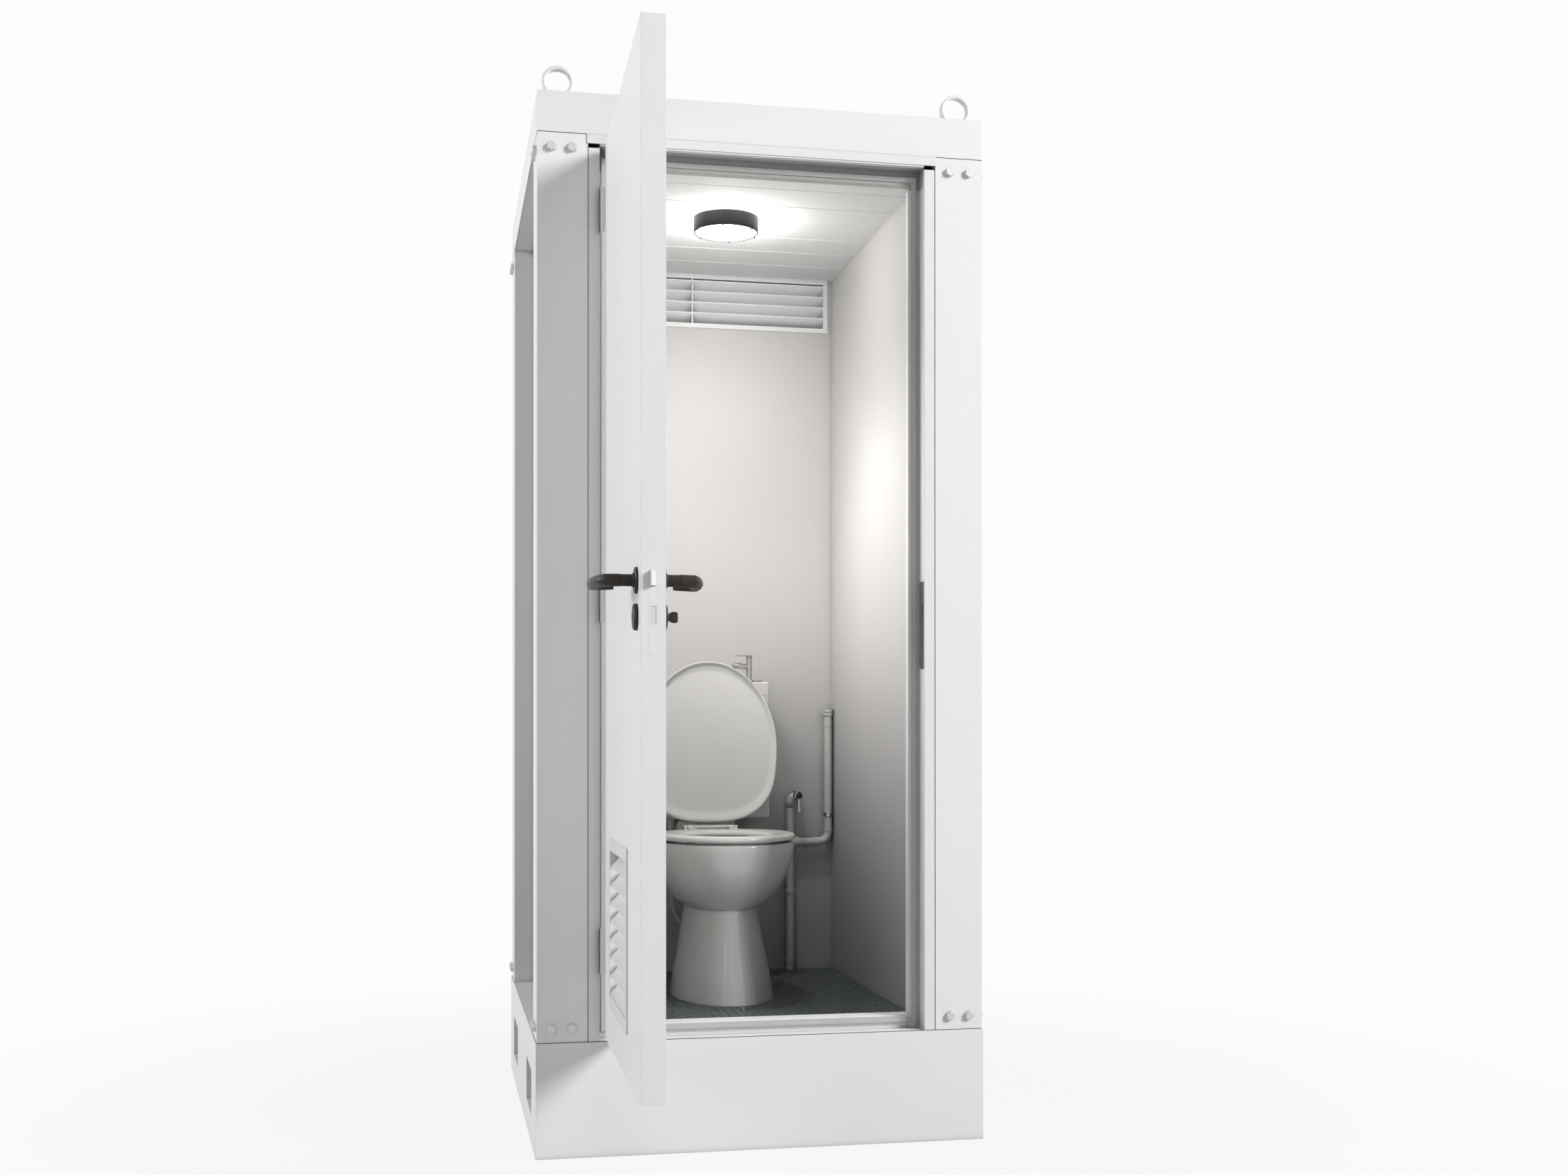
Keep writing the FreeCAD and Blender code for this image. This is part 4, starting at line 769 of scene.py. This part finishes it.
def tread_bar(x, y, angle):
    base = len(tread_verts)
    ca, sa = math.cos(angle), math.sin(angle)
    shape = [(-1, 0, 0), (-0.55, -1, 0), (0.55, -1, 0), (1, 0, 0), (0.55, 1, 0), (-0.55, 1, 0),
             (-0.62, 0, 1), (-0.4, -0.45, 1), (0.4, -0.45, 1), (0.62, 0, 1), (0.4, 0.45, 1), (-0.4, 0.45, 1)]
    for u, v, w in shape:
        u *= BAR_L
        v *= BAR_W
        tread_verts.append((x + u * ca - v * sa, y + u * sa + v * ca, FLOOR_Z - 0.2 + w * BAR_H))
    tread_faces.append(tuple(base + k for k in range(6, 12)))
    for k in range(6):
        j = (k + 1) % 6
        tread_faces.append((base + k, base + j, base + 6 + j, base + 6 + k))


rows = int(980 / STEP)
cols = int(830 / STEP)
for r in range(rows):
    for c in range(cols):
        x = FLOOR_X + STEP * (c + 0.5)
        y = FLOOR_Y + STEP * (r + 0.5)
        under_pan = (x / PAN_X) ** 2 + ((y - PAN_AT) / PAN_Y) ** 2 < 1.0
        if under_pan or math.hypot(x - PIPE_X, y - PIPE_Y) < PIPE_CLEAR:
            continue
        tread_bar(x, y, math.radians(45 if (r + c) % 2 else -45))
piece("tread_pattern", tread_verts, tread_faces, "floor_tread", "cabin", smooth=False)

# lifting eyes: rolled ring of flat bar welded on a small foot
WELD_X = 24.0
WELD_Y = 10.5
WELD_R = 2.2
FOOT_TOP = ROOF_Z + 8
section = [(37.2, -10), (38, -9), (38, 9), (37.2, 10), (30.3, 10), (29.5, 9), (29.5, -9), (30.3, -10)]
circle = []
for k in range(64):
    a = 2 * math.pi * k / 64
    circle.append((math.cos(a), math.sin(a)))
for sx in (-1, 1):
    for sy in (-1, 1):
        tag = ("left" if sx < 0 else "right") + ("_front" if sy < 0 else "_rear")
        cx, cy = sx * LIFT_X, sy * LIFT_Y
        rings = [[(cx + r * ca, cy + d, LIFT_Z + r * sa) for ca, sa in circle] for r, d in section]
        eye = rings_piece("eye_" + tag, rings, "cabin_paint", "cabin", loop=True)
        slab("eye_foot_" + tag, (cx - WELD_X, cy - 9.5, ROOF_Z), (cx + WELD_X, cy + 9.5, FOOT_TOP),
             "cabin_paint", "cabin", bevel=2)
        if sx < 0 and sy < 0:
            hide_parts("lifting_eyes")
        for side in (-1, 1):
            end_y, mid_y = cy + side * (WELD_Y - 0.5), cy + side * WELD_Y
            bead = smooth_path([(cx - WELD_X, end_y, FOOT_TOP), (cx - 10, mid_y, ROOF_Z + 4.5),
                                (cx, mid_y, ROOF_Z + 4), (cx + 10, mid_y, ROOF_Z + 4.5),
                                (cx + WELD_X, end_y, FOOT_TOP)], 5)
            pipe("eye_weld_%s_%d" % (tag, side), bead, WELD_R, "cabin_paint", "cabin", count=8)

# ceiling lamp: dark ring with clips, domed opal lens; both let the lamp in them light the ceiling
ring_profile = [(88, 0), (88, -4), (87.2, -30), (86.6, -38), (85.5, -40), (83.6, -40), (83.0, -38),
                (83.0, -30)]
LAMP_AT = (LAMP_X, LAMP_Y, CEILING_Z)
lamp_ring = lathe("lamp_ring", ring_profile, LAMP_AT, (0, 0, 1), "lamp_grey", "cabin", count=96, cap=False)
lens_profile = [(83.0, -36), (82.4, -38.5), (78, -40.0), (60, -41.2), (35, -42), (0.5, -42.3)]
lens = lathe("lamp_dome", lens_profile, LAMP_AT, (0, 0, 1), "lens", "cabin", count=96, cap=False)
lamp_ring.visible_shadow = False
lens.visible_shadow = False
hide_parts("lamp_body")
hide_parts("lamp_lens")
for k in range(6):
    a = math.radians(15 + 60 * k)
    clip_at = (LAMP_X + RING_R * math.cos(a), LAMP_Y + RING_R * math.sin(a), CLIP_Z)
    lathe("lamp_clip_%d" % k, [(3.2, 0), (3.2, 2.2), (2.4, 3)], clip_at, (0, 0, -1), "lamp_grey", "cabin",
          count=16)

# cistern and basin
DISH_DEPTH = 66.0


def box_ring(x0, x1, y0, y1, r, z, per=8):
    ring = []
    corners = ((x1 - r, y1 - r, 0), (x0 + r, y1 - r, 90), (x0 + r, y0 + r, 180), (x1 - r, y0 + r, 270))
    for cx, cy, start in corners:
        for k in range(per + 1):
            a = math.radians(start + 90 * k / per)
            ring.append((cx + r * math.cos(a), cy + r * math.sin(a), z))
    return ring


def tank_ring(inset, z):
    corner = 10 - inset * 0.5
    return box_ring(-TANK_X + inset, TANK_X - inset, TANK_FRONT + inset, TANK_REAR - inset, corner, z)


def dish_ring(down, grow):
    corner = max(30 + grow * 0.4, 6)
    return box_ring(-151 - grow, 114 + grow, 322 - grow, 458 + grow, corner, BASIN_Z - down)


tank_rings = [tank_ring(8, TANK_Z0), tank_ring(3, TANK_Z0 + 1.5), tank_ring(0, TANK_Z0 + 7),
              tank_ring(0, TANK_Z0 + 9), tank_ring(0, TANK_Z1 - 1), tank_ring(0, TANK_Z1)]
tank = rings_piece("cistern", tank_rings, "porcelain", "cabin", cap_first=True, cap_last=True)
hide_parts("cistern_tank")
cover_rings = [tank_ring(0, TANK_Z1 + 0.4), tank_ring(0, TANK_Z1 + 1.4), tank_ring(0, BASIN_Z - 3.5),
               tank_ring(0, BASIN_Z - 2.5), tank_ring(1, BASIN_Z - 0.8), tank_ring(3, BASIN_Z)]
for down, grow in ((0, 6), (1.5, 2), (7, 0), (52, -6), (61, -12), (65, -24), (DISH_DEPTH, -50)):
    cover_rings.append(dish_ring(down, grow))
cover = rings_piece("basin_cover", cover_rings, "porcelain", "cabin", cap_first=True, cap_last=True)
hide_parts("basin_top")
lathe("basin_drain", [(13, 0), (13, 1.2), (11, 1.8), (9, 1.0), (4, 0.6)], (-20, 392, BASIN_Z - DISH_DEPTH),
      (0, 0, 1), "chrome", "cabin")

# tap
tap = lathe("tap_column", [(14, 0), (14, 2.5), (12.5, 4), (9, 5), (8.5, 7), (8.5, 74), (8.0, 75)],
            (TAP_X, TAP_Y, BASIN_Z), (0, 0, 1), "chrome", "cabin")
SPOUT_Z = BASIN_Z + 47
SPOUT_R = 7.5
SPOUT_SWELL = 2.2
SPOUT_TAPER = 2.0
reach = [(0, 0), (-17, 2), (-33, 4), (-44, 3), (-49, -1)]
spout_path = smooth_path([(TAP_X + dx, TAP_Y, SPOUT_Z + dz) for dx, dz in reach], 8)
spout_girth = []
for k in range(len(spout_path)):
    t = k / (len(spout_path) - 1)
    spout_girth.append(SPOUT_R + SPOUT_SWELL * math.sin(math.pi * t) - SPOUT_TAPER * t)
pipe("tap_spout", spout_path, spout_girth, "chrome", "cabin")
lathe("tap_nozzle", [(4.8, 0), (4.8, 8), (4.2, 9)], (TAP_X - 46, TAP_Y, SPOUT_Z), (0, 0, -1), "chrome",
      "cabin")
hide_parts("tap_body")
tap_hub = lathe("tap_hub", [(8.6, 0), (8.6, 6), (8.0, 7.5)], (TAP_X, TAP_Y, BASIN_Z + 75.6), (0, 0, 1),
                "chrome", "tap")
slab("tap_blade", (TAP_X - 42, TAP_Y - 6, BASIN_Z + 80), (TAP_X + 5, TAP_Y + 6, BASIN_Z + 83.4), "chrome",
     "tap", bevel=1.4)
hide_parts("tap_lever")

# stop valve with its hood and hanging lever
hood = lathe("valve_body", [(13, 0), (13, 30), (12, 44), (9.5, 48), (9.5, 52), (4.2, 53), (4.2, 70)],
             (VALVE_X, 500, VALVE_Z), (0, -1, 0), "chrome", "cabin")
ELBOW_R = 14.0
ELBOW_Z = 798.0
bend = arc((PIPE_X + ELBOW_R, PIPE_Y, ELBOW_Z), ELBOW_R, 180, 90, 8)
elbow_path = [(PIPE_X, PIPE_Y, ELBOW_Z - 18)] + bend + [(VALVE_X, PIPE_Y, ELBOW_Z + ELBOW_R)]
pipe("valve_elbow", elbow_path, 13.5, "pipe_grey", "cabin")
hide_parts("stop_valve")
lever_hub = lathe("valve_lever_hub", [(9.5, 0), (9.5, 9), (7, 11.5)], (VALVE_X, 441.5, VALVE_Z), (0, -1, 0),
                  "chrome", "valve")
cap_line = [(-9.5, -6), (-10.5, 0), (-8, 6), (-3.5, 11.5), (0, 13.5), (3.5, 11.5), (8, 6), (10.5, 0),
            (8.5, -7), (0, -10)]
CAP_Z = VALVE_Z + 1
CAP_Y = 431.4
RIM_GROW = 1.16
prism("valve_lever_cap", [(VALVE_X + a, CAP_Z + b) for a, b in cap_line], CAP_Y - 2.8, CAP_Y, "black_plastic",
      "valve", axis="Y", bevel=1.2)
rim_line = [(VALVE_X + a * RIM_GROW - 0.6, CAP_Z + b * RIM_GROW + 0.8) for a, b in cap_line]
prism("valve_lever_rim", rim_line, CAP_Y, CAP_Y + 3, "chrome", "valve", axis="Y", bevel=1)
blade = [(-4, -3), (-3.6, -12), (-4.6, -40), (-4.2, -48), (-2, -51), (4, -51), (6.6, -48), (7, -40),
         (5.2, -12), (4.6, -3)]
prism("valve_lever_blade", [(VALVE_X + a + 1, VALVE_Z + b) for a, b in blade], 431, 435.5, "chrome", "valve",
      axis="Y", bevel=1.4)
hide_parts("stop_valve_lever")

# dark seams between the bolted frame members
def seam(name, lo, hi):
    slab("seam_" + name, lo, hi, "seam", "cabin")


FOOT_LOW = BASE_TOP - 0.2
FOOT_HIGH = BASE_TOP + 2 * SEAM
for s, tag in ((-1, "left"), (1, "right")):
    edge = s * FRAME_EDGE
    x0, x1 = s * POST_X - SEAM_PROUD, s * POST_X + SEAM_PROUD
    seam("jamb_" + tag, (edge - SEAM, FACE_Y - SEAM_PROUD, BASE_TOP), (edge + SEAM, FACE_Y, POST_TOP))
    seam("side_top_" + tag, (x0, FACE_Y, POST_TOP - SEAM), (x1, -FACE_Y, POST_TOP + SEAM))
    for y0, y1, end in ((FACE_Y, -LIP_END, "front"), (LIP_END, -FACE_Y, "rear")):
        seam("side_foot_%s_%s" % (tag, end), (x0, y0, FOOT_LOW), (x1, y1, FOOT_HIGH))
for y, tag in ((FACE_Y, "front"), (-FACE_Y, "rear")):
    y0, y1 = y - SEAM_PROUD, y + SEAM_PROUD
    seam("top_" + tag, (-POST_X, y0, POST_TOP - SEAM), (POST_X, y1, POST_TOP + SEAM))
    seam("foot_" + tag, (-POST_X, y0, FOOT_LOW), (POST_X, y1, FOOT_HIGH))
